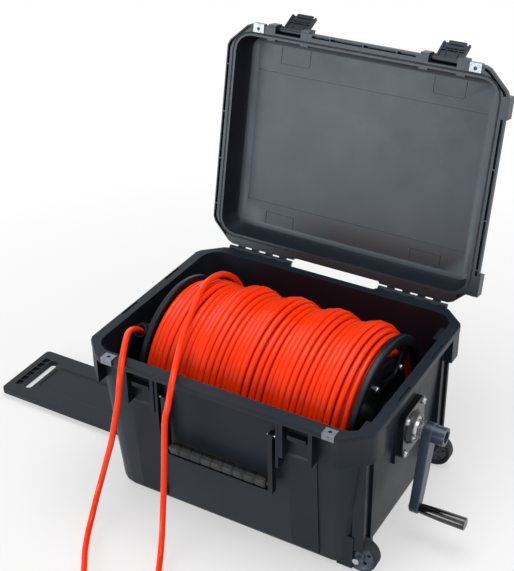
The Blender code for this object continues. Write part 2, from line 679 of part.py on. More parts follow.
def make_latch(word, side, materials, lid_hinge):
    """Press-and-pull latch: a ribbed lever hung on the lid, with a short release trigger."""
    pivot = add_empty("latch_pivot_" + word, (side * LATCH_X, LATCH_PIVOT_Y, LATCH_PIVOT_Z), (LATCH_OPEN, 0, 0),
                      lid_hinge)
    half = LATCH_WIDTH / 2
    bm = bmesh.new()
    box_into(bm, (-half, -0.0130, -LATCH_LENGTH), (half, -0.0095, 0.0040))
    latch = add_object(f"latch_{word}", to_mesh("latch_" + word, bm), materials["moving"], pivot)
    walls = [((-half, -0.0120, -0.0120), (-half + 0.0045, 0.0020, 0.0030)),
             ((half - 0.0045, -0.0120, -0.0120), (half, 0.0020, 0.0030)),
             ((-half, -0.0125, -LATCH_LENGTH - 0.0010), (-half + 0.0045, -0.0070, -0.0050)),
             ((half - 0.0045, -0.0125, -LATCH_LENGTH - 0.0010), (half, -0.0070, -0.0050)),
             ((-half + 0.002, -0.0120, -0.0395), (half - 0.002, -0.0072, -0.0370))]
    for x in (-0.0135, 0.0135):
        walls.append(((x - 0.0012, -0.0118, -0.0380), (x + 0.0012, -0.0075, 0.0)))
    combine(latch, boxes("latch_walls_" + word, walls, parent=pivot), "UNION")
    barrel = rods("latch_barrel_" + word, [((-half, 0, 0), (half, 0, 0), 0.0055)], parent=pivot, segments=10)
    combine(latch, barrel, "UNION")
    bridge = boxes("latch_bridge_" + word, [((-half, -0.0120, -0.0040), (half, -0.0010, 0.0035))], parent=pivot)
    combine(latch, bridge, "UNION")
    window = boxes("latch_window_" + word, [((-0.0200, -0.020, -0.080), (0.0200, 0.010, TRIGGER_PIVOT_Z + 0.0065))],
                   parent=pivot)
    combine(latch, window, "DIFFERENCE")
    bores = [((-0.0400, 0, 0), (0.0400, 0, 0), 0.0025),
             ((-0.0275, TRIGGER_PIVOT_Y, TRIGGER_PIVOT_Z), (0.0275, TRIGGER_PIVOT_Y, TRIGGER_PIVOT_Z), 0.0021)]
    combine(latch, rods("latch_bores_" + word, bores, parent=pivot, segments=8), "DIFFERENCE")
    rods("latch_pin_" + word, [((-0.0420, 0, 0), (0.0420, 0, 0), 0.0022)], materials["steel"], pivot, 12)
    trigger_pivot = add_empty("trigger_pivot_" + word, (0, TRIGGER_PIVOT_Y, TRIGGER_PIVOT_Z), parent=pivot)
    trigger = boxes(f"latch_trigger_{word}", [((-0.0194, -0.0028, -0.0200), (0.0194, 0.0012, 0.0035))],
                    materials["moving"], trigger_pivot)
    pivots = rods("trigger_stubs_" + word, [((-0.0194, 0, 0), (0.0194, 0, 0), 0.0033),
                                            ((-0.0270, 0, 0), (0.0270, 0, 0), 0.0018)],
                  parent=trigger_pivot, segments=12)
    combine(trigger, pivots, "UNION")
    hook = boxes("trigger_hook_" + word, [((-0.0150, -0.0020, -0.0110), (0.0150, 0.0032, -0.0080))],
                 parent=trigger_pivot)
    combine(trigger, hook, "UNION")


def make_front_handle(materials):
    """Drop handle on the front wall: two arms and a cross bar with a ribbed sleeve."""
    pivot = add_empty("front_handle_pivot", (0, HANDLE_PIVOT_Y, HANDLE_PIVOT_Z))
    half = HANDLE_HALF_WIDTH
    drop = HANDLE_DROP
    frame = boxes("front_handle", [((-half, -0.0085, -drop - 0.0185), (half, 0.0085, -drop - 0.0135))],
                  materials["moving"], pivot)
    arms = [((side * (half - 0.005) - 0.005, -0.0080, -drop - 0.0150), (side * (half - 0.005) + 0.005, 0.0080, 0.0060))
            for side in (-1, 1)]
    combine(frame, boxes("handle_arms", arms, parent=pivot), "UNION")
    combine(frame, rods("handle_core", [((-half + 0.004, 0, -drop), (half - 0.004, 0, -drop), 0.0072)], parent=pivot,
                        segments=10), "UNION")
    bores = [((side * 0.110, 0, 0), (side * 0.140, 0, 0), 0.0033) for side in (-1, 1)]
    combine(frame, rods("handle_bores", bores, parent=pivot, segments=8), "DIFFERENCE")
    make_handle_sleeve(materials, pivot, drop)
    for side, word in ((-1, "left"), (1, "right")):
        ends = sorted((side * 0.1135, side * 0.1445))
        rods("handle_pin_" + word, [((ends[0], HANDLE_PIVOT_Y, HANDLE_PIVOT_Z), (ends[1], HANDLE_PIVOT_Y, HANDLE_PIVOT_Z),
                                     0.0030)], materials["steel"], segments=12)


def make_handle_sleeve(materials, pivot, drop):
    """Soft sleeve with nine turned grooves round the cross bar."""
    half = 0.1117
    grooves = 9
    pitch = 2 * half / grooves
    outline = []
    for index in range(grooves):
        start = -half + index * pitch
        outline += [(start, 0.0108), (start + 0.0028, 0.0124), (start + pitch - 0.0028, 0.0124)]
    profile = [(half, 0.0082), (-half, 0.0082)] + outline + [(half, 0.0108)]
    turned("front_grip", profile, materials["rubber"], pivot, segments=10, centre=(0, 0, -drop))


def make_tow_handle(materials):
    """Flat pull-out handle in its channel under the case, with a finger slot at its end."""
    low_x, high_x = TOW_OUTER_X, TOW_OUTER_X + TOW_LENGTH
    centre = ((low_x + high_x) / 2, 0.0)
    outline = rounded_outline(TOW_LENGTH, TOW_WIDTH, 0.012, centre)
    inset = rounded_outline(TOW_LENGTH - 0.003, TOW_WIDTH - 0.003, 0.0105, centre)
    handle = loft("tow_handle", [(inset, TOW_BOTTOM_Z), (outline, TOW_BOTTOM_Z + 0.0015),
                                 (outline, TOW_TOP_Z - 0.0015), (inset, TOW_TOP_Z)], materials["case"])
    slot = rounded_outline(0.026, 0.120, 0.008, (low_x + 0.050, 0.0))
    combine(handle, prism("tow_slot", slot, 0.0, 0.05), "DIFFERENCE")
    recess = rounded_outline(0.300, 0.092, 0.014, (low_x + 0.222, 0.0))
    recess_low = rounded_outline(0.294, 0.086, 0.011, (low_x + 0.222, 0.0))
    well = loft("tow_recess", [(recess_low, TOW_TOP_Z - 0.0030), (recess, TOW_TOP_Z), (recess, TOW_TOP_Z + 0.01)])
    combine(handle, well, "DIFFERENCE")
    pocket = [((low_x + 0.0185, -0.060 + index * 0.0202, TOW_TOP_Z - 0.006),
               (low_x + 0.0335, -0.0415 + index * 0.0202, TOW_TOP_Z + 0.005)) for index in range(6)]
    combine(handle, boxes("tow_pockets", pocket), "DIFFERENCE")
    cover = rounded_outline(0.556, 0.224, 0.010, (-0.002, 0.0))
    plate = prism("tow_cover", cover, 0.0, TOW_COVER_TOP_Z)
    plate.data.materials.append(materials["case"])
    return handle


def make_wheels(materials):
    """Two spoked wheels in boxes at the right-hand bottom corners."""
    for side, word in ((-1, "front"), (1, "back")):
        centre = (WHEEL_X, side * WHEEL_Y, WHEEL_Z)
        half = WHEEL_WIDTH / 2
        rim = WHEEL_RADIUS - 0.0055
        profile = [(-half + 0.0015, 0.0046), (half - 0.0015, 0.0046), (half - 0.0015, 0.0105), (half - 0.0050, 0.0125),
                   (half - 0.0050, rim - 0.005), (half, rim), (-half, rim),
                   (-half + 0.0050, rim - 0.005), (-half + 0.0050, 0.0125), (-half + 0.0015, 0.0105)]
        wheel = turned("wheel_" + word, profile, materials["wheel"], None, 16, centre, "Y")
        for index in range(5):
            angle = 2 * pi * index / 5 + 0.3
            middle = Vector(centre) + Vector((0.0200 * cos(angle), 0, 0.0200 * sin(angle)))
            opening = rods(f"wheel_opening_{word}_{index}", [((middle.x, middle.y - 0.02, middle.z),
                                                              (middle.x, middle.y + 0.02, middle.z), 0.0052)], segments=6)
            combine(wheel, opening, "DIFFERENCE")
        tyre_in = rim + GAP
        tyre = [(-half, tyre_in), (half, tyre_in), (half, WHEEL_RADIUS - 0.0015), (half - 0.002, WHEEL_RADIUS),
                (-half + 0.002, WHEEL_RADIUS), (-half, WHEEL_RADIUS - 0.0015)]
        turned("tyre_" + word, tyre, materials["tyre"], None, 24, centre, "Y")
        inner, outer = side * 0.1640, side * 0.2150
        start, end = sorted((inner, outer))
        axle = rods("axle_" + word, [((WHEEL_X, start, WHEEL_Z), (WHEEL_X, end, WHEEL_Z), 0.0040)], materials["steel"],
                    segments=10)
        head_start = side * (body_width(WHEEL_Z) / 2 + 0.0028 + GAP)
        head = rods("axle_head_" + word, [((WHEEL_X, head_start, WHEEL_Z), (WHEEL_X, side * 0.2165, WHEEL_Z), 0.0070)],
                    segments=12)
        combine(axle, head, "UNION")


def make_bearing(word, side, materials):
    """Square four-bolt flange bearing with its steel insert ring and bolts."""
    seat = side * (PAD_X + GAP)
    face = seat + side * PLATE_THICKNESS
    bm = bmesh.new()
    outline = rounded_outline(PLATE_SIZE, PLATE_SIZE, 0.017)
    ends = [[bm.verts.new((x, a, AXIS_Z + b)) for a, b in outline] for x in (seat, face)]
    for i in range(len(outline)):
        j = (i + 1) % len(outline)
        bm.faces.new((ends[0][i], ends[0][j], ends[1][j], ends[1][i]))
    bm.faces.new(ends[0])
    bm.faces.new(ends[1])
    housing = add_object(f"bearing_{word}_housing", to_mesh("bearing_housing_" + word, bm), materials["iron"])
    half = BOLT_SPACING / 2
    holes = [((seat - side * 0.03, sy * half, AXIS_Z + sz * half), (face + side * 0.03, sy * half, AXIS_Z + sz * half), 0.0048)
             for sy in (-1, 1) for sz in (-1, 1)]
    combine(housing, rods("bolt_holes_" + word, holes, segments=8), "DIFFERENCE")
    boss_profile = [(seat + side * 0.002, 0.0), (face + side * 0.0085, 0.0), (face + side * 0.0085, 0.0330),
                    (face - side * 0.0010, 0.0400), (seat + side * 0.002, 0.0400)]
    boss = turned("bearing_boss_" + word, boss_profile, None, None, 24, (0, 0, AXIS_Z))
    combine(housing, boss, "UNION")
    bore = rods("bearing_bore_" + word, [((seat - side * 0.01, 0, AXIS_Z), (face + side * 0.02, 0, AXIS_Z), 0.0260)],
                segments=24)
    combine(housing, bore, "DIFFERENCE")
    insert = [(seat + side * 0.0010, SHAFT_RADIUS + GAP), (face + side * 0.0130, SHAFT_RADIUS + GAP),
              (face + side * 0.0130, 0.0190), (face + side * 0.0075, 0.0200), (face + side * 0.0070, 0.0255),
              (seat + side * 0.0010, 0.0255)]
    turned(f"bearing_{word}_insert", insert, materials["steel"], None, 20, (0, 0, AXIS_Z))
    for label, dy, dz in (("front_top", -half, half), ("front_bottom", -half, -half), ("back_top", half, half),
                          ("back_bottom", half, -half)):
        bolt = rods(f"bolt_{word}_{label}", [((seat - side * 0.0120, dy, AXIS_Z + dz), (face + side * 0.002, dy, AXIS_Z + dz),
                                              0.0044)], materials["steel"], segments=8)
        head = rods(f"bolt_head_{word}_{label}", [((face + side * GAP, dy, AXIS_Z + dz),
                                                   (face + side * 0.0068, dy, AXIS_Z + dz), 0.0078)], segments=6)
        combine(bolt, head, "UNION")
    return holes


def ring_sector(name, x_low, x_high, inner, outer, start, end, parent, steps=5):
    """Kidney-shaped block: a sector of a ring about the drum axis."""
    bm = bmesh.new()
    outline = [(outer * cos(start + (end - start) * i / steps), outer * sin(start + (end - start) * i / steps))
               for i in range(steps + 1)]
    outline += [(inner * cos(end - (end - start) * i / steps), inner * sin(end - (end - start) * i / steps))
                for i in range(steps + 1)]
    ends = [[bm.verts.new((x, a, b)) for a, b in outline] for x in (x_low, x_high)]
    count = len(outline)
    for i in range(count):
        j = (i + 1) % count
        bm.faces.new((ends[0][i], ends[0][j], ends[1][j], ends[1][i]))
    bm.faces.new(ends[0])
    bm.faces.new(ends[1])
    return add_object(name, to_mesh(name, bm), None, parent)


def make_drum(materials, axis):
    """Shaft, two cut-out discs, the barrel between them and the tie bolts."""
    rods("drum_shaft", [((SHAFT_START_X, 0, 0), (SHAFT_END_X, 0, 0), SHAFT_RADIUS)], materials["steel"], axis, 24)
    left = DRUM_X - DRUM_INSIDE / 2
    right = DRUM_X + DRUM_INSIDE / 2
    for word, side, face in (("left", -1, left), ("right", 1, right)):
        outside = face + side * FLANGE_THICKNESS
        web = outside - side * WEB_RECESS
        profile = [(face, SHAFT_RADIUS + GAP), (outside + side * 0.012, SHAFT_RADIUS + GAP),
                   (outside + side * 0.012, 0.0300), (web, 0.0380), (web, CUTOUT_OUTER + 0.0005),
                   (outside, CUTOUT_OUTER + 0.0020), (outside, FLANGE_RADIUS), (face, FLANGE_RADIUS)]
        disc = turned("drum_flange_" + word, profile, materials["drum"], axis, 36)
        for index, degrees in enumerate(CUTOUT_DEGREES):
            middle = radians(degrees)
            kidney = ring_sector(f"cutout_{word}_{index}", face - 0.03, face + 0.03, CUTOUT_INNER, CUTOUT_OUTER,
                                 middle - CUTOUT_SPAN / 2, middle + CUTOUT_SPAN / 2, axis)
            combine(disc, kidney, "DIFFERENCE")
        holes = [((face - 0.03, y, z), (face + 0.03, y, z), 0.0043) for y, z in tie_bolt_places()]
        combine(disc, rods("tie_holes_" + word, holes, parent=axis, segments=8), "DIFFERENCE")
    barrel = turned("drum_barrel", [(left + GAP, BARREL_BORE), (right - GAP, BARREL_BORE), (right - GAP, BARREL_RADIUS),
                                    (left + GAP, BARREL_RADIUS)], materials["drum"], axis, 36)
    start = left - FLANGE_THICKNESS + WEB_RECESS - 0.0053
    end = right + FLANGE_THICKNESS - WEB_RECESS + 0.0053
    for index, (y, z) in enumerate(tie_bolt_places()):
        bolt = rods(f"tie_bolt_{index + 1}", [((start + 0.001, y, z), (end - 0.001, y, z), 0.0040)], materials["steel"],
                    axis, 8)
        heads = rods(f"tie_bolt_heads_{index + 1}", [((start, y, z), (start + 0.0050, y, z), 0.0075),
                                                     ((end - 0.0050, y, z), (end, y, z), 0.0075)],
                     parent=axis, segments=8)
        combine(bolt, heads, "UNION")
    holes = [((left - 0.01, y, z), (right + 0.01, y, z), 0.0043) for y, z in tie_bolt_places()]
    combine(barrel, rods("barrel_holes", holes, parent=axis, segments=8), "DIFFERENCE")


def tie_bolt_places():
    """Positions of the tie bolts across the drum axis."""
    return [(TIE_BOLT_CIRCLE * cos(radians(angle)), TIE_BOLT_CIRCLE * sin(radians(angle)))
            for angle in TIE_BOLT_DEGREES]


def winding_points():
    """Centre line of the outer layer: bunched loops, with both ends turned down into the layer below."""
    left = DRUM_X - DRUM_INSIDE / 2 + CABLE_RADIUS + 0.0008
    right = DRUM_X + DRUM_INSIDE / 2 - CABLE_RADIUS - 0.0008
    pitch = (right - left) / WOUND_LOOPS
    period = WOUND_LOOPS / BUNCHES
    base = OUTER_LAYER_INSIDE + CABLE_RADIUS + GAP
    steps = WOUND_LOOPS * POINTS_PER_LOOP
    points = []
    for step in range(steps + 1):
        turn = step / POINTS_PER_LOOP
        phase = 2 * pi * turn / period
        x = left + pitch * turn - BUNCH_SHIFT * sin(phase)
        radius = base + BUNCH_LIFT * (1 + cos(phase)) / 2
        ends = min(turn, WOUND_LOOPS - turn)
        radius = base + (radius - base) * min(1.0, ends / 0.5)
        angle = -pi / 2 + 2 * pi * turn
        points.append(Vector((x, radius * cos(angle), radius * sin(angle))))
    return points, base


def end_bend(start, direction, inward, bend, straight):
    """Quarter bend from a direction into the drum, then a straight run."""
    centre = start + inward * bend
    points = []
    for step in range(1, 5):
        angle = pi / 2 * step / 4
        points.append(centre - inward * bend * cos(angle) + direction * bend * sin(angle))
    points.append(points[-1] + inward * straight)
    return points


def winding_with_ends():
    points, base = winding_points()
    bend = 0.016
    first = end_bend(points[0], Vector((0, -1, 0)), Vector((0, 0, 1)), bend, CABLE_DIAMETER)
    last = end_bend(points[-1], Vector((0, 1, 0)), Vector((0, 0, 1)), bend, CABLE_DIAMETER)
    return list(reversed(first)) + points + last


def tube(name, points, radius, material, parent=None, resolution=2):
    """Curve tube through the points, with filled ends."""
    curve = bpy.data.curves.new(name, "CURVE")
    curve.dimensions = "3D"
    curve.bevel_depth = radius
    curve.bevel_resolution = resolution
    curve.use_fill_caps = True
    spline = curve.splines.new("POLY")
    spline.points.add(len(points) - 1)
    for target, point in zip(spline.points, points):
        target.co = (*point, 1.0)
    spline.use_smooth = True
    curve.materials.append(material)
    obj = bpy.data.objects.new(name, curve)
    bpy.context.scene.collection.objects.link(obj)
    if parent is not None:
        obj.parent = parent
    return obj


def least_gap(points, radius):
    """Smallest distance between two loops of the winding, less the cable's thickness."""
    line = np.array(points)
    least = 1.0
    for i in range(len(line)):
        far = line[i + POINTS_PER_LOOP // 2:]
        if len(far):
            least = min(least, float(np.linalg.norm(far - line[i], axis=1).min()))
    return least - 2 * radius


def make_winding(materials, axis):
    """The lower layers as one plain core, and the outer layer as one unbroken tube round it."""
    left = DRUM_X - DRUM_INSIDE / 2 + GAP
    right = DRUM_X + DRUM_INSIDE / 2 - GAP
    core = turned("cable_inner_layers", [(left, BARREL_RADIUS + GAP), (right, BARREL_RADIUS + GAP),
                                         (right, INNER_LAYERS_RADIUS), (left, INNER_LAYERS_RADIUS)],
                  materials["cable"], axis, 36)
    points = winding_with_ends()
    depth = INNER_LAYERS_RADIUS - (points[0].length_squared - points[0].x ** 2) ** 0.5
    slots = []
    for end, direction in ((points[0], -1), (points[-1], 1)):
        y_low, y_high = sorted((end.y - direction * 0.026, end.y + direction * (CABLE_RADIUS + 0.0012)))
        slots.append(((end.x - CABLE_RADIUS - 0.0012, y_low, -INNER_LAYERS_RADIUS - 0.02),
                      (end.x + CABLE_RADIUS + 0.0012, y_high, end.z + GAP)))
    combine(core, boxes("cable_end_slots", slots, parent=axis), "DIFFERENCE")
    tube("wound_cable", points, CABLE_RADIUS, materials["cable"], axis, 1)
    print("least gap of the wound cable to itself, mm:", round(1000 * least_gap(points, CABLE_RADIUS), 2),
          "depth of its end slots, mm:", round(1000 * depth, 1))


def make_crank(materials, axis):
    """Crank arm with its hub, the spindle at its end, the turning grip and the shaft collar."""
    reach = Vector((0, cos(CRANK_ANGLE), sin(CRANK_ANGLE)))
    across = Vector((0, -reach.z, reach.y))
    end = reach * CRANK_RADIUS
    bm = bmesh.new()
    outline = []
    for step in range(9):
        angle = pi / 2 + pi * step / 8
        outline.append(0.0210 * (reach * cos(angle) + across * sin(angle)))
    for step in range(7):
        angle = -pi / 2 + pi * step / 6
        outline.append(end + 0.0130 * (reach * cos(angle) + across * sin(angle)))
    ends = [[bm.verts.new(point + Vector((x, 0, 0))) for point in outline]
            for x in (CRANK_X, CRANK_X + CRANK_THICKNESS)]
    count = len(outline)
    for i in range(count):
        j = (i + 1) % count
        bm.faces.new((ends[0][i], ends[0][j], ends[1][j], ends[1][i]))
    bm.faces.new(ends[0])
    bm.faces.new(ends[1])
    arm = add_object("crank_arm", to_mesh("crank_arm", bm), materials["crank"], axis)
    bevel = arm.modifiers.new("edge", "BEVEL")
    bevel.width = 0.0015
    bevel.segments = 1
    bevel.limit_method = "ANGLE"
    bevel.angle_limit = radians(50)
    hub = rods("crank_hub", [((CRANK_X + 0.002, 0, 0), (CRANK_X + HUB_LENGTH, 0, 0), 0.0195)], parent=axis, segments=24)
    combine(arm, hub, "UNION")
    bore = rods("crank_bore", [((CRANK_X - 0.01, 0, 0), (CRANK_X + HUB_LENGTH + 0.01, 0, 0), SHAFT_RADIUS + GAP)],
                parent=axis, segments=24)
    combine(arm, bore, "DIFFERENCE")
    pin_hole = rods("spindle_hole", [((CRANK_X - 0.01, end.y, end.z), (CRANK_X + 0.03, end.y, end.z), 0.0050)],
                    parent=axis, segments=16)
    combine(arm, pin_hole, "DIFFERENCE")
    grip_start = CRANK_X + CRANK_THICKNESS + 0.0010
    spindle = rods("crank_spindle", [((CRANK_X - 0.0020, end.y, end.z), (grip_start + GRIP_LENGTH - 0.006, end.y, end.z),
                                      0.0047)], materials["steel"], axis, 16)
    rivet = rods("spindle_rivet", [((CRANK_X - 0.0030, end.y, end.z), (CRANK_X - GAP, end.y, end.z), 0.0070)],
                 parent=axis, segments=16)
    combine(spindle, rivet, "UNION")
    grip_pivot = add_empty("grip_pivot", (0, end.y, end.z), parent=axis)
    profile = [(grip_start, 0.0051), (grip_start + GRIP_LENGTH - 0.005, 0.0051), (grip_start + GRIP_LENGTH - 0.005, 0.0),
               (grip_start + GRIP_LENGTH, 0.0), (grip_start + GRIP_LENGTH, 0.0122),
               (grip_start + GRIP_LENGTH - 0.0015, 0.0135), (grip_start + 0.045, 0.0128), (grip_start + 0.004, 0.0108),
               (grip_start, 0.0098)]
    turned("crank_grip", profile, materials["grip"], grip_pivot, 18)
    collar_start = PAD_X + GAP + PLATE_THICKNESS + 0.0130 + 0.0010
    turned("shaft_collar", [(collar_start, SHAFT_RADIUS + GAP), (CRANK_X - 0.0012, SHAFT_RADIUS + GAP),
                            (CRANK_X - 0.0012, 0.0190), (collar_start, 0.0190)], materials["steel"], axis, 18)


def smooth_route(points, step):
    """Points at an even step along a smooth curve through the route."""
    knots = [Vector(p) for p in points]
    knots = [2 * knots[0] - knots[1]] + knots + [2 * knots[-1] - knots[-2]]
    dense = []
    for i in range(1, len(knots) - 2):
        p0, p1, p2, p3 = knots[i - 1:i + 3]
        for k in range(20):
            t = k / 20
            dense.append(0.5 * ((2 * p1) + (p2 - p0) * t + (2 * p0 - 5 * p1 + 4 * p2 - p3) * t * t
                                + (3 * p1 - p0 - 3 * p2 + p3) * t ** 3))
    dense.append(knots[-2])
    lengths = [0.0]
    for a, b in zip(dense, dense[1:]):
        lengths.append(lengths[-1] + (b - a).length)
    total = lengths[-1]
    count = max(2, round(total / step))
    result = []
    for k in range(count + 1):
        wanted = total * k / count
        i = min(max(next((n for n, s in enumerate(lengths) if s >= wanted), len(lengths) - 1), 1), len(lengths) - 1)
        share = (wanted - lengths[i - 1]) / max(lengths[i] - lengths[i - 1], 1e-9)
        result.append(dense[i - 1].lerp(dense[i], share))
    return result, total


def right_tail_route():
    """Half round the drum, clear of the turning cable, then over the rim to the ground."""
    radius = OUTER_LAYER_INSIDE + GAP + CABLE_DIAMETER + BUNCH_LIFT + 0.0012 + CABLE_RADIUS
    round_drum = []
    for degrees, x in RIGHT_TAIL_TURN:
        angle = radians(degrees)
        round_drum.append((x, radius * cos(angle), AXIS_Z + radius * sin(angle)))
    return round_drum + RIGHT_TAIL


def make_tail(name, route, materials, connector, socket):
    """One free end of the cable and the connector that it ends in."""
    points, length = smooth_route(route, TAIL_STEP)
    print(name, "length, m:", round(length, 3), "points:", len(points))
    tube(name, points, CABLE_RADIUS, materials["cable"])
    direction = (points[-1] - points[-2]).normalized()
    start = points[-1] + direction * GAP
    turn = Vector((1, 0, 0)).rotation_difference(direction)
    pivot = add_empty(connector + "_place", start, turn.to_euler())
    length = CONNECTOR_LENGTH
    radius = CONNECTOR_RADIUS
    profile = [(0.0, 0.0), (0.0, 0.0085), (0.012, 0.0105), (0.016, 0.0135), (0.040, 0.0140), (0.042, radius - 0.001),
               (length - 0.002, radius - 0.001), (length, radius - 0.003)]
    if socket:
        profile += [(length, 0.0120), (length - 0.020, 0.0120), (length - 0.020, 0.0)]
    else:
        profile += [(length, 0.0115), (length + 0.016, 0.0115), (length + 0.016, 0.0)]
    piece = turned(connector, profile, materials["rubber"], pivot, 12)
    piece.location.z = 0.0
    return piece


def make_cable_guide(materials):
    """Tube on a bracket at the left wall that leads the inner cable end out to the front."""
    along = Vector((0, -1, 1)).normalized()
    mouth = Vector(GUIDE_MOUTH)
    back = mouth - along * GUIDE_LENGTH
    guide = rods("cable_guide", [(mouth, back, GUIDE_OUTER)], materials["drum"], segments=20)
    wall_x = -(body_length(0.30) / 2 - WALL) + GAP + 0.0006
    middle = (mouth + back) / 2
    bracket = boxes("guide_bracket", [((wall_x, middle.y - 0.022, middle.z - 0.020), (GUIDE_X - 0.006, middle.y + 0.022, middle.z + 0.012))])
    combine(guide, bracket, "UNION")
    combine(guide, rods("guide_bore", [(mouth + along * 0.01, mouth - along * GUIDE_DEPTH, GUIDE_BORE)], segments=20),
            "DIFFERENCE")
    return guide


def main():
    clear_scene()
    materials = make_materials()
    base = make_base(materials)
    lid_hinge = add_empty("lid_hinge", (0, HINGE_Y, HINGE_Z), (-LID_OPEN, 0, 0))
    make_lid(materials, lid_hinge)
    make_hasps(materials, lid_hinge)
    for word, side in (("left", -1), ("right", 1)):
        make_latch(word, side, materials, lid_hinge)
        holes = make_bearing(word, side, materials)
        combine(base, rods("pad_holes_" + word, holes, segments=8), "DIFFERENCE")
    make_front_handle(materials)
    make_tow_handle(materials)
    make_wheels(materials)
    drum_axis = add_empty("drum_axis", (0, 0, AXIS_Z))
    make_drum(materials, drum_axis)
    make_winding(materials, drum_axis)
    make_crank(materials, drum_axis)
    make_cable_guide(materials)
    make_tail("tail_left", LEFT_TAIL, materials, "connector_left", True)
    make_tail("tail_right", right_tail_route(), materials, "connector_right", False)


main()
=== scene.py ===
"""Cable reel in a wheeled case: finishes, wound cable, free cable ends, fastenings and the stage.

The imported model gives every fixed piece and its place. This file dresses those pieces,
winds the cable turn by turn, lays the two free ends and sets the stage and the camera.
Lengths are metres unless a name says millimetres.
"""
from functools import cache
from math import cos, pi, radians, sin, tau

import bmesh
import bpy
import numpy as np
from bpy.props import FloatProperty, FloatVectorProperty, IntProperty, PointerProperty
from mathutils import Matrix, Vector


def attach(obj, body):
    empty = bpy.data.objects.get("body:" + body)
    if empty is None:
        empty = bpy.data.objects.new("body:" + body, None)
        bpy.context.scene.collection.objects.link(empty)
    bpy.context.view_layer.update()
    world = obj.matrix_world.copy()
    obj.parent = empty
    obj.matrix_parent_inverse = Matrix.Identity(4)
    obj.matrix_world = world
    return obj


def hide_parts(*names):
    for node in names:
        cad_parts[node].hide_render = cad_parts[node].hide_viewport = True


bl_info = {
    "name": "Cable Reel in a Wheeled Case",
    "version": (1, 0, 0),
    "blender": (4, 5, 0),
    "location": "View3D > Sidebar > Cable Reel",
    "description": "Dresses a cable reel: moulded case, wound cable, fittings and stage",
    "category": "Object",
}

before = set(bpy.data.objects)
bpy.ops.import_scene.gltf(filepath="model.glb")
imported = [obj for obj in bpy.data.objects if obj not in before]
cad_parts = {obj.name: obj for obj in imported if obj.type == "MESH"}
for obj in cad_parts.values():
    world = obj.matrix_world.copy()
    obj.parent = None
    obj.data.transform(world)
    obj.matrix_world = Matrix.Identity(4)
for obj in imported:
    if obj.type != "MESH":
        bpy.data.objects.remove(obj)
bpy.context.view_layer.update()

# Drum: places and main sizes are the CAD model's
AXIS_Z = 0.235
DRUM_X = 0.006
DRUM_INSIDE = 0.472
DRUM_LEFT = DRUM_X - DRUM_INSIDE / 2
DRUM_RIGHT = DRUM_X + DRUM_INSIDE / 2
BARREL_RADIUS = 0.12
SHAFT_RADIUS = 0.0125
BORE_PLAY = 0.0003
FLANGE_RADIUS = 0.1755
FLANGE_THICKNESS = 0.012
WEB_RECESS = 0.005
BOSS_HEIGHT = 0.012
BOSS_RADIUS = 0.03
DISC_STEPS = 96
CUTOUT_DEGREES = (20.0, 77.0, 200.0, 257.0)
CUTOUT_INNER = 0.088
CUTOUT_OUTER = 0.1535
CUTOUT_SPAN = radians(44.0)
CUTOUT_CORNER = 0.02
CUT_REACH = 0.03
DISC_EDGE = 0.0008
TIE_BOLT_CIRCLE = 0.107
TIE_BOLT_DEGREES = (48.5, 115.0, 228.5, 295.0)
TIE_HOLE_RADIUS = 0.0043
HOLE_SIDES = 16
TIE_WASHER = 0.0014

# Bearing plates and hinge spacers, at their places in the CAD model
PAD_X = 0.3023
PLATE_THICKNESS = 0.0125
PLATE_WASHER = 0.0017
PLATE_SCREW_REACH = 0.013
BOLT_SPACING = 0.08
HINGE_Y = 0.2615
HINGE_Z = 0.362
HINGE_STARTS = {"left": -0.264, "right": 0.114}
PIN_BORE = 0.0027
SPACER_RADIUS = 0.0056
SPACER_LENGTH = 0.15
SPACER_SIDES = 24

# Button-head screws
SCREW_SIDES = 24
WASHER_SIDES = 32
PLATE_SCREW = {"radius": 0.0072, "height": 0.005, "socket": 0.0033, "shank": 0.0042}
TIE_SCREW = {"radius": 0.007, "height": 0.0038, "socket": 0.003, "shank": 0.004}
WASHER_RADIUS = 0.0082

# Winding
OUTER_LAYER_RADIUS = 0.1728
UNDER_SAMPLES = 24
OUTER_SAMPLES = 44
UNDER_PLAY = 0.0006
OUTER_PLAY = 0.0008
UNDER_PITCH = 1.015
UNDER_SINK = 0.003
END_DIP = 0.0095
END_DIP_REACH = 0.05
HUMPS = 5
HUMP_HEIGHT = 0.0135
VALLEY_DEPTH = 0.004
LEAN = 0.0105
WANDER = 0.0045
WANDER_SHARE = 0.6
WANDER_TURNS = 0.8
SETTLE_STEPS = 260
SETTLE_HOT_STEPS = 200
SETTLE_COOL = 0.3
SETTLE_SINK = 0.00035
SETTLE_SPREAD = 0.3
SETTLE_SMOOTH = 0.4
NEIGHBOURS = 5
TURN_GAP = 1.01
SIDE_SHARE = 0.7
LEVEL_WITHIN = 0.0002
LEVEL_LIFT = 0.15
END_TURNS = 2.5
WINDING_SIDES = 10

# The free end that leaves over the rim has a lane of its own, left of these places
LANE_X = -0.118
LANE_HUMP_X = -0.105
LANE_BLEND = 0.02
LANE_FLATTENING = 0.7
LANE_CEILING = 0.1768
OPEN_CEILING = 0.1865

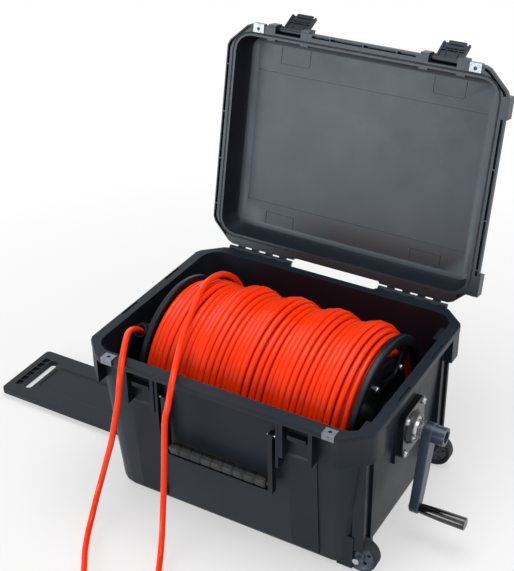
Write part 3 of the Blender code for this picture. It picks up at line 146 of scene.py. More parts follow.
# Routes of the two free ends of the cable, as in the CAD model
ROUTE_DENSITY = 20
COARSE_STEP = 0.025
FINE_STEP = 0.007
CORD_SIDES = 16
CABLE_SHARP = 60
LEFT_TAIL = [
    (-0.27, -0.084, 0.319), (-0.27, -0.096, 0.331), (-0.27, -0.1085, 0.343),
    (-0.269, -0.124, 0.356), (-0.265, -0.144, 0.367), (-0.257, -0.166, 0.375),
    (-0.246, -0.188, 0.3785), (-0.235, -0.208, 0.3797), (-0.225, -0.226, 0.3797),
    (-0.213, -0.248, 0.378), (-0.204, -0.266, 0.37), (-0.198, -0.28, 0.354),
    (-0.1975, -0.287, 0.33), (-0.2002, -0.289, 0.3039), (-0.2122, -0.29, 0.2506),
    (-0.226, -0.29, 0.1935), (-0.2447, -0.29, 0.1333), (-0.258, -0.2935, 0.085),
    (-0.2605, -0.313, 0.048), (-0.252, -0.345, 0.022), (-0.236, -0.383, 0.0098),
    (-0.212, -0.425, 0.008), (-0.185, -0.464, 0.008), (-0.162, -0.502, 0.0085),
    (-0.148, -0.535, 0.014), (-0.142, -0.56, 0.0171), (-0.137, -0.585, 0.0172),
]
TAIL_TURN_RADIUS = 0.1905
RIGHT_TAIL_TURN = [
    (-40, -0.186), (-15, -0.186), (10, -0.1858), (35, -0.185),
    (60, -0.1825), (82, -0.1775), (98, -0.168),
]
RIGHT_TAIL = [
    (-0.154, -0.077, 0.414), (-0.14, -0.129, 0.403), (-0.12, -0.182, 0.392),
    (-0.103, -0.222, 0.3845), (-0.093, -0.244, 0.3805), (-0.0845, -0.265, 0.3715),
    (-0.0795, -0.281, 0.356), (-0.0785, -0.292, 0.333), (-0.0824, -0.2985, 0.3036),
    (-0.0868, -0.301, 0.2291), (-0.0927, -0.301, 0.1489), (-0.095, -0.305, 0.098),
    (-0.0905, -0.318, 0.058), (-0.08, -0.34, 0.028), (-0.066, -0.368, 0.0105),
    (-0.05, -0.397, 0.008), (-0.035, -0.428, 0.0085), (-0.024, -0.456, 0.014),
    (-0.017, -0.48, 0.0171), (-0.01, -0.505, 0.0172),
]

# Connectors: distances are from the cable's end
CONNECTOR_LENGTH = 0.095
CONNECTOR_RADIUS = 0.0155
CONNECTOR_STEPS = 96
CONNECTOR_GAP = 0.0003
BOOT_RIBS = 5
RIB_PITCH = 0.0078
GRIP_FLUTES = 12
CONTACTS = 3
CONTACT_SIDES = 20
INSERT_SIDES = 48

# Camera of the photograph
CAMERA_PLACE = Vector((1.0139, -1.803, 1.7375))
CAMERA_YAW = radians(30.45)
CAMERA_PITCH = radians(-31.38)
CAMERA_ROLL = radians(-0.86)
CAMERA_LENS = 75.63

# Stage: each lamp has a name, a place, a width, a height and its watts
LAMP_TARGET = (0.0, 0.0, 0.3)
LAMPS = (
    ("front window", (-1.5, -2.8, 0.7), 2.4, 1.3, 66),
    ("overhead", (0.1, 0.1, 2.9), 2.0, 2.0, 55),
    ("right fill", (2.6, 0.4, 1.3), 1.4, 1.4, 16),
)
AMBIENT = 0.3
FLOOR_HALF = 12.0
FLOOR_GAP = 0.0005
WHITE = (1.0, 1.0, 1.0)

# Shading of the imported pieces
JOIN_WITHIN = 0.00002
FLAT_WITHIN = radians(0.6)
SHARP_FROM = radians(32)


# Colours and nodes

def linear(hex_colour):
    """Linear colour from an sRGB hex value."""
    value = hex_colour.lstrip("#")
    parts = [int(value[i:i + 2], 16) / 255 for i in (0, 2, 4)]
    return tuple(p / 12.92 if p <= 0.04045 else ((p + 0.055) / 1.055) ** 2.4 for p in parts)


def scaled(colour, factor):
    """Lighter or darker colour."""
    return [v * factor for v in colour]


def per_mm(size):
    """Noise scale for a pattern whose features are about this many millimetres."""
    return 1000.0 / size


def add(tree, kind, inputs=None, **settings):
    """Adds one node, sets its properties, and fills or links its inputs; a node gives its first output."""
    made = tree.nodes.new(kind)
    for name, value in settings.items():
        setattr(made, name, value)
    for key, value in (inputs or {}).items():
        if isinstance(value, bpy.types.Node):
            value = value.outputs[0]
        if isinstance(value, bpy.types.NodeSocket):
            tree.links.new(value, made.inputs[key])
        elif made.inputs[key].type == "RGBA":
            made.inputs[key].default_value = (*value[:3], 1.0)
        else:
            made.inputs[key].default_value = value
    return made


def new_finish(name):
    """Empty material, its node tree and the object's own coordinates."""
    finish = bpy.data.materials.new(name)
    finish.use_nodes = True
    tree = finish.node_tree
    tree.nodes.clear()
    return finish, tree, add(tree, "ShaderNodeTexCoord").outputs["Object"]


def coat(finish, colour, rough, relief, strength, depth, others):
    """Completes a finish: colour, roughness, a fine relief and other inputs of the shader."""
    tree = finish.node_tree
    bump = add(tree, "ShaderNodeBump", {"Height": relief, "Strength": strength, "Distance": depth})
    inputs = {"Base Color": colour.outputs[2], "Roughness": rough, "Normal": bump, **others}
    add(tree, "ShaderNodeOutputMaterial", {"Surface": add(tree, "ShaderNodeBsdfPrincipled", inputs)})
    return finish


def rubbed_and_highlit_edges(tree, radius):
    """0 on flat faces and 1 at corners sharper than the radius: where a corner is rubbed, and where a
    painted edge highlight goes.
    """
    # This mask carries both rubbed wear and a painted highlight on the corners.
    rounded = add(tree, "ShaderNodeBevel", {"Radius": radius}, samples=4)
    surface = add(tree, "ShaderNodeNewGeometry")
    facing = add(tree, "ShaderNodeVectorMath",
                 {0: rounded, 1: surface.outputs["Normal"]}, operation="DOT_PRODUCT")
    return add(tree, "ShaderNodeMapRange",
               {"Value": facing.outputs["Value"], "From Min": 0.985, "From Max": 0.86})


# Finishes

def moulded_plastic(name, base, worn, roughness, level, grain_mm, scuff=0.3):
    """Moulded plastic with a spark-eroded grain: soft uneven sheen, hairline scuffs, and paler corners that
    are partly rubbed wear and partly a painted highlight.

    The real grain is about half a millimetre; it is drawn at grain_mm to show.
    """
    finish, tree, place = new_finish(name)
    flow = add(tree, "ShaderNodeTexNoise", {"Vector": place, "Scale": per_mm(90), "Detail": 2.0})
    grain = add(tree, "ShaderNodeTexNoise", {"Vector": place, "Scale": per_mm(grain_mm), "Detail": 3.0})
    drawn = add(tree, "ShaderNodeMapping",
                {"Vector": place, "Rotation": (0.3, 0.5, 0.4), "Scale": (1.0, 9.0, 2.0)})
    hairs = add(tree, "ShaderNodeTexNoise",
                {"Vector": drawn, "Scale": per_mm(28), "Detail": 7.0, "Roughness": 0.75})
    scuffs = add(tree, "ShaderNodeMapRange",
                 {"Value": hairs, "From Min": 0.6, "From Max": 0.74, "To Max": scuff})
    # Paler corners: partly rubbed wear, partly a painted edge highlight.
    edge = add(tree, "ShaderNodeMath", {0: rubbed_and_highlit_edges(tree, 0.0015), 1: flow}, operation="MULTIPLY")
    wear_and_highlight = add(tree, "ShaderNodeMath", {0: edge, 1: scuffs}, operation="ADD", use_clamp=True)
    tint = add(tree, "ShaderNodeMix",
               {0: flow, 6: scaled(base, 0.94), 7: scaled(base, 1.06)}, data_type="RGBA")
    # The worn colour goes on the scuffs, which are real wear, and on the corners, where it is partly a
    # painted highlight.
    colour = add(tree, "ShaderNodeMix", {0: wear_and_highlight, 6: tint.outputs[2], 7: worn}, data_type="RGBA")
    sheen = add(tree, "ShaderNodeMapRange", {"Value": flow, "From Min": 0.3, "From Max": 0.7,
                 "To Min": roughness - 0.02, "To Max": roughness + 0.03})
    speckle = add(tree, "ShaderNodeMapRange", {"Value": grain, "From Min": 0.3, "From Max": 0.7,
                   "To Min": -0.05, "To Max": 0.05})
    rough = add(tree, "ShaderNodeMath", {0: sheen, 1: speckle}, operation="ADD")
    return coat(finish, colour, rough, grain, 0.35, 0.00025,
                {"Specular IOR Level": level, "Specular Tint": (0.8, 0.92, 1.0)})


def metal(name, base, stain, roughness, brush_mm):
    """Bare or plated metal: fine drawn lines, a slightly blotchy shine and a few dull spots."""
    finish, tree, place = new_finish(name)
    drawn = add(tree, "ShaderNodeMapping", {"Vector": place, "Scale": (0.12, 1.0, 1.0)})
    lines = add(tree, "ShaderNodeTexNoise", {"Vector": drawn, "Scale": per_mm(brush_mm), "Detail": 4.0})
    blotch = add(tree, "ShaderNodeTexNoise", {"Vector": place, "Scale": per_mm(9), "Detail": 4.0})
    dull = add(tree, "ShaderNodeMapRange", {"Value": blotch, "From Min": 0.55, "From Max": 0.75})
    colour = add(tree, "ShaderNodeMix", {0: dull, 6: base, 7: stain}, data_type="RGBA")
    rough = add(tree, "ShaderNodeMapRange", {"Value": lines, "From Min": 0.3, "From Max": 0.7,
                 "To Min": roughness - 0.06, "To Max": roughness + 0.09})
    return coat(finish, colour, rough, lines, 0.15, 0.0001, {"Metallic": 1.0})


def pvc_jacket(name, base, deep):
    """Extruded soft PVC: saturated and glossy, a slow change of tone along its length, faint scuffs."""
    finish, tree, place = new_finish(name)
    along = add(tree, "ShaderNodeAttribute", attribute_name="along")
    slow = add(tree, "ShaderNodeTexNoise",
               {"W": along.outputs["Fac"], "Scale": 3.0, "Detail": 2.0}, noise_dimensions="1D")
    scuff = add(tree, "ShaderNodeTexNoise",
                {"Vector": place, "Scale": per_mm(14), "Detail": 6.0, "Roughness": 0.7})
    worn = add(tree, "ShaderNodeMapRange",
               {"Value": scuff, "From Min": 0.62, "From Max": 0.78, "To Max": 0.12})
    tone = add(tree, "ShaderNodeMix", {0: slow, 6: base, 7: deep}, data_type="RGBA")
    colour = add(tree, "ShaderNodeMix", {0: worn, 6: tone.outputs[2], 7: deep}, data_type="RGBA")
    rough = add(tree, "ShaderNodeMapRange", {"Value": scuff, "From Min": 0.35, "From Max": 0.7,
                 "To Min": 0.14, "To Max": 0.24})
    return coat(finish, colour, rough, scuff, 0.05, 0.0001, {"Specular IOR Level": 0.22})


def soft_rubber(name, base, dust, roughness):
    """Moulded rubber: matt and even, with a faint bloom of dust in a fine mottle."""
    finish, tree, place = new_finish(name)
    bloom = add(tree, "ShaderNodeTexNoise", {"Vector": place, "Scale": per_mm(18), "Detail": 5.0})
    pores = add(tree, "ShaderNodeTexNoise", {"Vector": place, "Scale": per_mm(1.2), "Detail": 2.0})
    cover = add(tree, "ShaderNodeMapRange",
                {"Value": bloom, "From Min": 0.45, "From Max": 0.75, "To Max": 0.35})
    colour = add(tree, "ShaderNodeMix", {0: cover, 6: base, 7: dust}, data_type="RGBA")
    rough = add(tree, "ShaderNodeMapRange",
                {"Value": pores, "To Min": roughness - 0.08, "To Max": roughness + 0.08})
    return coat(finish, colour, rough, pores, 0.3, 0.0002, {"Specular IOR Level": 0.35})


def painted_iron(name, base, chipped_and_highlit, roughness):
    """Cast iron under thin satin paint: slightly rippled by the sand mould, paler on its corners, partly
    from rubbed wear and partly a painted highlight.
    """
    finish, tree, place = new_finish(name)
    sand = add(tree, "ShaderNodeTexNoise", {"Vector": place, "Scale": per_mm(2.5), "Detail": 4.0})
    cloud = add(tree, "ShaderNodeTexNoise", {"Vector": place, "Scale": per_mm(30), "Detail": 3.0})
    # Paler corners: partly rubbed wear, partly a painted edge highlight.
    edge = add(tree, "ShaderNodeMath", {0: rubbed_and_highlit_edges(tree, 0.0012), 1: sand}, operation="MULTIPLY")
    tint = add(tree, "ShaderNodeMix",
               {0: cloud, 6: scaled(base, 0.8), 7: scaled(base, 1.2)}, data_type="RGBA")
    colour = add(tree, "ShaderNodeMix", {0: edge, 6: tint.outputs[2], 7: chipped_and_highlit}, data_type="RGBA")
    rough = add(tree, "ShaderNodeMapRange",
                {"Value": sand, "To Min": roughness - 0.08, "To Max": roughness + 0.1})
    return coat(finish, colour, rough, sand, 0.35, 0.0003, {})


def polished_phenolic(name, base):
    """Moulded phenolic, polished: deep black and glossy, with a few fine handling marks."""
    finish, tree, place = new_finish(name)
    marks = add(tree, "ShaderNodeTexNoise",
                {"Vector": place, "Scale": per_mm(6), "Detail": 8.0, "Roughness": 0.8})
    rough = add(tree, "ShaderNodeMapRange", {"Value": marks, "From Min": 0.4, "From Max": 0.8,
                 "To Min": 0.08, "To Max": 0.22})
    lighter = [v * 1.6 + 0.002 for v in base]
    tint = add(tree, "ShaderNodeMix", {0: marks, 6: base, 7: lighter}, data_type="RGBA")
    shader = add(tree, "ShaderNodeBsdfPrincipled",
                 {"Base Color": tint.outputs[2], "Roughness": rough, "IOR": 1.6})
    add(tree, "ShaderNodeOutputMaterial", {"Surface": shader})
    return finish


@cache
def finishes():
    """The finishes, made once, from the colours in the panel.

    A moulded plastic's numbers are its roughness, specular level, grain in millimetres and scuffs.
    """
    colours = bpy.context.scene.cable_reel_colours
    return {
        # The second colour of each plastic and paint goes on its corners, where it is partly wear and partly
        # a painted highlight; the lid's and the wheels' are the palest.
        "case": moulded_plastic("moulded polypropylene", colours.case_plastic, linear("#38424E"),
                                0.44, 0.22, 1.6, 0.14),
        # The lid is the case plastic with a paler corner colour, partly a painted highlight, and a higher
        # specular level.
        "lid": moulded_plastic("moulded polypropylene, smooth side", colours.case_plastic, linear("#4A5561"),
                               0.36, 0.42, 1.6, 0.1),
        "nylon": moulded_plastic("glass filled nylon", colours.fitting_nylon, linear("#343C46"),
                                 0.36, 0.28, 1.2, 0.12),
        "drum": moulded_plastic("moulded ABS", colours.drum_plastic, linear("#3A424C"),
                                0.38, 0.28, 2.0, 0.12),
        "wheel": moulded_plastic("moulded wheel nylon", linear("#39424D"), linear("#7B8692"), 0.4, 0.5, 1.0),
        "cable": pvc_jacket("soft PVC jacket", colours.cable_jacket, scaled(colours.cable_jacket, 0.86)),
        "steel": metal("stainless steel", linear("#C6C9CC"), linear("#8E9296"), 0.26, 0.8),
        "hasp": metal("brushed stainless sheet", linear("#7E848B"), linear("#5A6067"), 0.36, 0.7),
        "zinc": metal("zinc plated steel", linear("#B9BDC4"), linear("#83888F"), 0.3, 0.6),
        "cast": painted_iron("cast iron, black paint", colours.bearing_paint, linear("#5E656D"), 0.24),
        "crank": painted_iron("cast iron, blue-grey paint", colours.crank_paint, linear("#7F8EA1"), 0.34),
        "grip": polished_phenolic("polished phenolic", linear("#08090B")),
        "insulator": polished_phenolic("polished phenolic insulator", linear("#23262A")),
        "grip_rubber": soft_rubber("thermoplastic rubber", linear("#14171B"), linear("#3A3F45"), 0.55),
        "seal": soft_rubber("foam rubber seal", linear("#1A1C1F"), linear("#44484D"), 0.75),
        "tyre": soft_rubber("tyre rubber", linear("#191B1E"), linear("#57554F"), 0.7),
        "connector": soft_rubber("connector rubber", linear("#121417"), linear("#3C4045"), 0.5),
    }


# Mesh helpers

@cache
def joined_corners():
    """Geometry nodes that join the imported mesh's corners and shade its round faces smooth."""
    tree = bpy.data.node_groups.new("joined corners", "GeometryNodeTree")
    for way in ("INPUT", "OUTPUT"):
        tree.interface.new_socket("Geometry", in_out=way, socket_type="NodeSocketGeometry")
    start = add(tree, "NodeGroupInput")
    plain = add(tree, "GeometryNodeSetMeshNormal", {"Mesh": start, "Remove Custom": True})
    whole = add(tree, "GeometryNodeMergeByDistance", {"Geometry": plain, "Distance": JOIN_WITHIN})
    faces = add(tree, "GeometryNodeSetShadeSmooth", {0: whole, "Shade Smooth": True}, domain="FACE")
    angle = add(tree, "GeometryNodeInputMeshEdgeAngle")
    gentle = add(tree, "FunctionNodeCompare", {0: angle, 1: SHARP_FROM}, operation="LESS_THAN")
    edges = add(tree, "GeometryNodeSetShadeSmooth", {0: faces, "Shade Smooth": gentle}, domain="EDGE")
    add(tree, "NodeGroupOutput", {0: edges})
    return tree


def soften(piece, width, angle):
    """Rounds the edges sharper than this angle."""
    edge = piece.modifiers.new("soft edges", "BEVEL")
    edge.width = width
    edge.segments = 2
    edge.limit_method = "ANGLE"
    edge.angle_limit = angle
    return edge


def dress(look, edge_mm, *names):
    """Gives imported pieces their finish, smooth round faces and, unless edge_mm is 0, softened edges."""
    for name in names:
        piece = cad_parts[name]
        for holder in piece.material_slots:
            holder.material = finishes()[look]
        join = piece.modifiers.new("joined", "NODES")
        join.node_group = joined_corners()
        flat = piece.modifiers.new("flat faces", "DECIMATE")
        flat.decimate_type = "DISSOLVE"
        flat.angle_limit = FLAT_WITHIN
        if edge_mm:
            soften(piece, edge_mm / 1000, SHARP_FROM).harden_normals = True


def into_scene(name, data):
    """Object with this data, in the scene."""
    made = bpy.data.objects.new(name, data)
    bpy.context.scene.collection.objects.link(made)
    return made


def new_piece(name, mesh, look, body, slot, sharp, *replaced):
    """Piece with its finish, smooth between edges sharper than this many degrees, and body. The slot is not
    used.
    """
    mesh.materials.append(finishes()[look])
    mesh.polygons.foreach_set("use_smooth", [True] * len(mesh.polygons))
    mesh.set_sharp_from_angle(angle=radians(sharp))
    piece = into_scene(name, mesh)
    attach(piece, body)
    if replaced:
        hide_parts(*replaced)
    return piece


def finished_mesh(name, bm):
    """Mesh from a bmesh with outward faces."""
    bmesh.ops.recalc_face_normals(bm, faces=bm.faces)
    mesh = bpy.data.meshes.new(name)
    bm.to_mesh(mesh)
    bm.free()
    return mesh


def cut_mesh(body, cutters):
    """Mesh of a body less its cutters, with softened edges. The helpers are removed."""
    for cutter in cutters:
        cut = body.modifiers.new("cut", "BOOLEAN")
        cut.operation = "DIFFERENCE"
        cut.solver = "EXACT"
        cut.object = cutter
    soften(body, DISC_EDGE, radians(30))
    graph = bpy.context.evaluated_depsgraph_get()
    mesh = bpy.data.meshes.new_from_object(body.evaluated_get(graph))
    for helper in [body, *cutters]:
        bpy.data.objects.remove(helper)
    return mesh


def directions_across(axis):
    """Unit axis and two unit directions square to it."""
    axis = Vector(axis).normalized()
    side = axis.orthogonal().normalized()
    return axis, side, axis.cross(side)


def ring_into(bm, centre, side, other, reaches):
    """Ring of corners round a centre, each at its own distance out."""
    corners = []
    for step, reach in enumerate(reaches):
        angle = tau * step / len(reaches)
        corners.append(bm.verts.new(centre + (side * cos(angle) + other * sin(angle)) * reach))
    return corners


def wall_into(bm, rings):
    """Faces from ring to ring, and one across each end."""
    for low, high in zip(rings, rings[1:]):
        for step in range(len(low)):
            after = (step + 1) % len(low)
            bm.faces.new((low[step], low[after], high[after], high[step]))
    bm.faces.new(list(reversed(rings[0])))
    bm.faces.new(rings[-1])


def turn_into(bm, profile, segments, origin, axis, flute=None):
    """Closed turned shape from (distance along the axis, radius) pairs; radius 0 meets on the axis."""
    axis, side, other = directions_across(axis)
    rings = []
    for along, radius in profile:
        centre = Vector(origin) + axis * along
        if radius <= 0:
            rings.append([bm.verts.new(centre)])
            continue
        reaches = [radius - (flute(along, step) if flute else 0.0) for step in range(segments)]
        rings.append(ring_into(bm, centre, side, other, reaches))
    closed = len(rings[0]) > 1 and len(rings[-1]) > 1
    pairs = list(zip(rings, rings[1:])) + ([(rings[-1], rings[0])] if closed else [])
    for low, high in pairs:
        for step in range(segments):
            after = (step + 1) % segments
            corners = [low[step % len(low)], low[after % len(low)],
                       high[after % len(high)], high[step % len(high)]]
            kept = list(dict.fromkeys(corners))
            if len(kept) > 2:
                bm.faces.new(kept)


def turned_mesh(name, profile, segments, origin, axis, flute=None):
    """Mesh of one turned shape."""
    bm = bmesh.new()
    turn_into(bm, profile, segments, origin, axis, flute)
    return finished_mesh(name, bm)


def screw_into(bm, head, axis, length, radius, height, socket, shank):
    """Button-head screw with a six-sided socket; head is the point where the head meets its seat."""
    axis, side, other = directions_across(axis)
    hexagon = []
    for step in range(SCREW_SIDES):
        angle = tau * step / SCREW_SIDES
        hexagon.append(socket * cos(pi / 6) / cos((angle % (pi / 3)) - pi / 6))
    rings = []
    for along, reach in ((-length, shank), (0, shank), (0, radius), (height * 0.35, radius * 0.99),
                         (height * 0.75, radius * 0.86), (height * 0.97, radius * 0.66),
                         (height, socket * 1.12), (height, None), (height * 0.35, None)):
        reaches = [reach] * SCREW_SIDES if reach else hexagon
        rings.append(ring_into(bm, Vector(head) + axis * along, side, other, reaches))
    wall_into(bm, rings)


def run_lengths(line):
    """Distance from the start to each point of a line."""
    steps = np.linalg.norm(np.diff(line, axis=0), axis=1)
    return np.concatenate([[0.0], np.cumsum(steps)])


def swept_mesh(name, points, radius, sides):
    """Closed tube of this radius along the points; 'along' holds the distance from its start."""
    line = np.array([tuple(p) for p in points])
    count = len(line)
    tangents = np.gradient(line, axis=0)
    tangents /= np.linalg.norm(tangents, axis=1)[:, None]
    normal = Vector(tangents[0]).orthogonal().normalized()
    normals = np.empty_like(line)
    for index in range(count):
        tangent = Vector(tangents[index])
        normal = (normal - tangent * normal.dot(tangent)).normalized()
        normals[index] = normal
    binormals = np.cross(tangents, normals)
    angles = np.arange(sides) * tau / sides
    rings = (line[:, None, :] + radius * (normals[:, None, :] * np.cos(angles)[None, :, None]
                                          + binormals[:, None, :] * np.sin(angles)[None, :, None]))
    places = rings.reshape(-1, 3).tolist() + [line[0].tolist(), line[-1].tolist()]
    low = np.arange(count - 1)[:, None] * sides
    step = np.arange(sides)[None, :]
    after = (step + 1) % sides
    corners = [low + step, low + after, low + sides + after, low + sides + step]
    faces = np.stack(corners, axis=2).reshape(-1, 4).tolist()
    last = (count - 1) * sides
    for index in range(sides):
        beyond = (index + 1) % sides
        faces.append([count * sides, beyond, index])
        faces.append([count * sides + 1, last + index, last + beyond])
    mesh = bpy.data.meshes.new(name)
    mesh.from_pydata(places, [], faces)
    reach = run_lengths(line)
    along = mesh.attributes.new("along", "FLOAT", "POINT")
    along.data.foreach_set("value", np.append(np.repeat(reach, sides), [reach[0], reach[-1]]))
    return mesh


# Routes

def smooth_route(points, step):
    """Points at an even step along a smooth curve through the route, and the curve's length."""
    knots = [Vector(p) for p in points]
    knots = [2 * knots[0] - knots[1]] + knots + [2 * knots[-1] - knots[-2]]
    dense = []
    for i in range(1, len(knots) - 2):
        before, here, there, beyond = knots[i - 1:i + 3]
        slope = there - before
        bend = 2 * before - 5 * here + 4 * there - beyond
        twist = 3 * here - before - 3 * there + beyond
        for k in range(ROUTE_DENSITY):
            t = k / ROUTE_DENSITY
            dense.append(0.5 * ((2 * here) + slope * t + bend * t * t + twist * t ** 3))
    dense.append(knots[-2])
    line = np.array([tuple(p) for p in dense])
    reach = run_lengths(line)
    count = max(2, round(reach[-1] / step))
    wanted = np.linspace(0.0, reach[-1], count + 1)
    even = np.stack([np.interp(wanted, reach, line[:, axis]) for axis in range(3)], axis=1)
    return [Vector(p) for p in even], float(reach[-1])


def round_axis(x, radius, angle):
    """Point at this angle and distance from the drum's axis."""
    return x, radius * cos(angle), AXIS_Z + radius * sin(angle)


def right_tail_route():
    """Half round the drum, clear of the turning cable, then over the rim to the ground."""
    turn = [round_axis(x, TAIL_TURN_RADIUS, radians(degrees)) for degrees, x in RIGHT_TAIL_TURN]
    return turn + RIGHT_TAIL


def end_dip(x):
    """How far the winding sinks beside the drum discs."""
    share = np.clip(np.minimum(x - DRUM_LEFT, DRUM_RIGHT - x) / END_DIP_REACH, 0, 1)
    return END_DIP * (1 - share * share * (3 - 2 * share))


def outer_floor(x):
    """Radius the outer turns rest at: five humps, flatter where the free end needs its lane."""
    share = (x - DRUM_LEFT) / (DRUM_RIGHT - DRUM_LEFT)
    hump = 0.5 - 0.5 * np.cos(tau * HUMPS * share)
    lane = np.clip((LANE_HUMP_X - x) / LANE_BLEND, 0, 1)
    flattened = HUMP_HEIGHT * hump * (1 - LANE_FLATTENING * lane)
    return OUTER_LAYER_RADIUS - VALLEY_DEPTH + flattened - end_dip(x)


def outer_ceiling(x):
    """Highest radius of the outer turns, lower where the free end crosses them."""
    lane = np.clip((LANE_X - x) / LANE_BLEND, 0, 1)
    return OPEN_CEILING * (1 - lane) + LANE_CEILING * lane - end_dip(x)


def inner_layers(diameter, layers):
    """Under layers, wound to and fro between the discs, one on the other."""
    low = DRUM_LEFT + diameter / 2 + UNDER_PLAY
    high = DRUM_RIGHT - diameter / 2 - UNDER_PLAY
    turns = int((high - low) / (diameter * UNDER_PITCH))
    gap = (OUTER_LAYER_RADIUS - BARREL_RADIUS - diameter / 2) / layers
    points = []
    for layer in range(layers):
        radius = BARREL_RADIUS + diameter / 2 + gap * layer
        for step in range(turns * UNDER_SAMPLES):
            share = step / (turns * UNDER_SAMPLES)
            x = low + (high - low) * (1 - share if layer % 2 else share)
            rise = max(0.0, (share * turns - (turns - 0.5)) / 0.5) * gap
            rise -= (float(end_dip(x)) + UNDER_SINK) * layer / layers
            points.append((x, radius + rise, tau * (layer * turns + step / UNDER_SAMPLES)))
    return points


def outer_layer(diameter, turns, start, seed):
    """Outer layer that settles on the layers below: crowded turns ride up on their neighbours."""
    low = DRUM_LEFT + diameter / 2 + OUTER_PLAY
    high = DRUM_RIGHT - diameter / 2 - OUTER_PLAY
    turn = np.arange(turns * OUTER_SAMPLES + 1) / OUTER_SAMPLES
    random = np.random.default_rng(seed)
    knots = np.arange(0, turns + 2, WANDER_TURNS)
    wander = np.interp(turn, knots, random.normal(0.0, WANDER, len(knots)))
    ends = np.clip(np.minimum(turn, turns - turn) / END_TURNS, 0, 1)
    phase = tau * turn / (turns / HUMPS)
    lean = LEAN * ends * np.sin(tau * turn + 0.5 + 0.9 * np.sin(phase / 2 + 0.7))
    x = low + (high - low) * turn / turns + WANDER_SHARE * wander * ends + lean
    x = np.clip(x, low, high)
    rise = outer_floor(x)
    for settle in range(SETTLE_STEPS):
        cooling = 1.0 if settle < SETTLE_HOT_STEPS else SETTLE_COOL
        x[1:-1] += SETTLE_SPREAD * cooling * (0.5 * (x[:-2] + x[2:]) - x[1:-1])
        rise[1:-1] += SETTLE_SMOOTH * (0.5 * (rise[:-2] + rise[2:]) - rise[1:-1])
        rise -= SETTLE_SINK * cooling
        for apart in range(1, NEIGHBOURS + 1):
            offset = apart * OUTER_SAMPLES
            dx = x[offset:] - x[:-offset]
            dr = rise[offset:] - rise[:-offset]
            distance = np.hypot(dx, dr) + 1e-9
            push = np.clip(diameter * TURN_GAP - distance, 0, None) * 0.5
            x[offset:] += push * dx / distance * SIDE_SHARE
            x[:-offset] -= push * dx / distance * SIDE_SHARE
            up = np.where(np.abs(dr) < LEVEL_WITHIN, LEVEL_LIFT, np.abs(dr) / distance)
            rise[offset:] += push * up * (dr >= 0)
            rise[:-offset] += push * up * (dr < 0)
        rise = np.clip(rise, outer_floor(x), outer_ceiling(x))
        x = np.clip(x, low, high)
    return list(zip(x, rise, start + tau * turn))


def wound_line(diameter, layers, turns, seed):
    """Centre line of the whole winding, as one unbroken cable."""
    under = inner_layers(diameter, layers)
    start = under[-1][2] + tau / OUTER_SAMPLES
    outer = outer_layer(diameter, turns, start, seed)
    if layers % 2:
        outer = [(DRUM_LEFT + DRUM_RIGHT - x, r, a) for x, r, a in outer]
    return [round_axis(*place) for place in under + outer]


# Pieces

def kidney(name, middle, x_low, x_high):
    """Cutter for one opening of a drum disc: a ring sector with rounded corners."""
    start, end = middle - CUTOUT_SPAN / 2, middle + CUTOUT_SPAN / 2
    quarter = [pi / 2 * i / 5 for i in range(6)]
    outline = []
    for radius, begin, finish, outward in ((CUTOUT_OUTER, start, end, 1), (CUTOUT_INNER, end, start, -1)):
        sense = 1 if finish > begin else -1
        centre_radius = radius - outward * CUTOUT_CORNER
        inset = sense * CUTOUT_CORNER / centre_radius
        for pivot, first in ((begin + inset, True), (finish - inset, False)):
            for step in quarter:
                lean = step if first else pi / 2 - step
                radial = outward * CUTOUT_CORNER * sin(lean)
                across = (-sense if first else sense) * CUTOUT_CORNER * cos(lean)
                outline.append((centre_radius + radial, pivot, across))
    bm = bmesh.new()
    ends = []
    for x in (x_low, x_high):
        ring = []
        for radial, pivot, across in outline:
            y = radial * cos(pivot) - across * sin(pivot)
            z = radial * sin(pivot) + across * cos(pivot)
            ring.append(bm.verts.new((x, y, AXIS_Z + z)))
        ends.append(ring)
    wall_into(bm, ends)
    return into_scene(name, finished_mesh(name, bm))


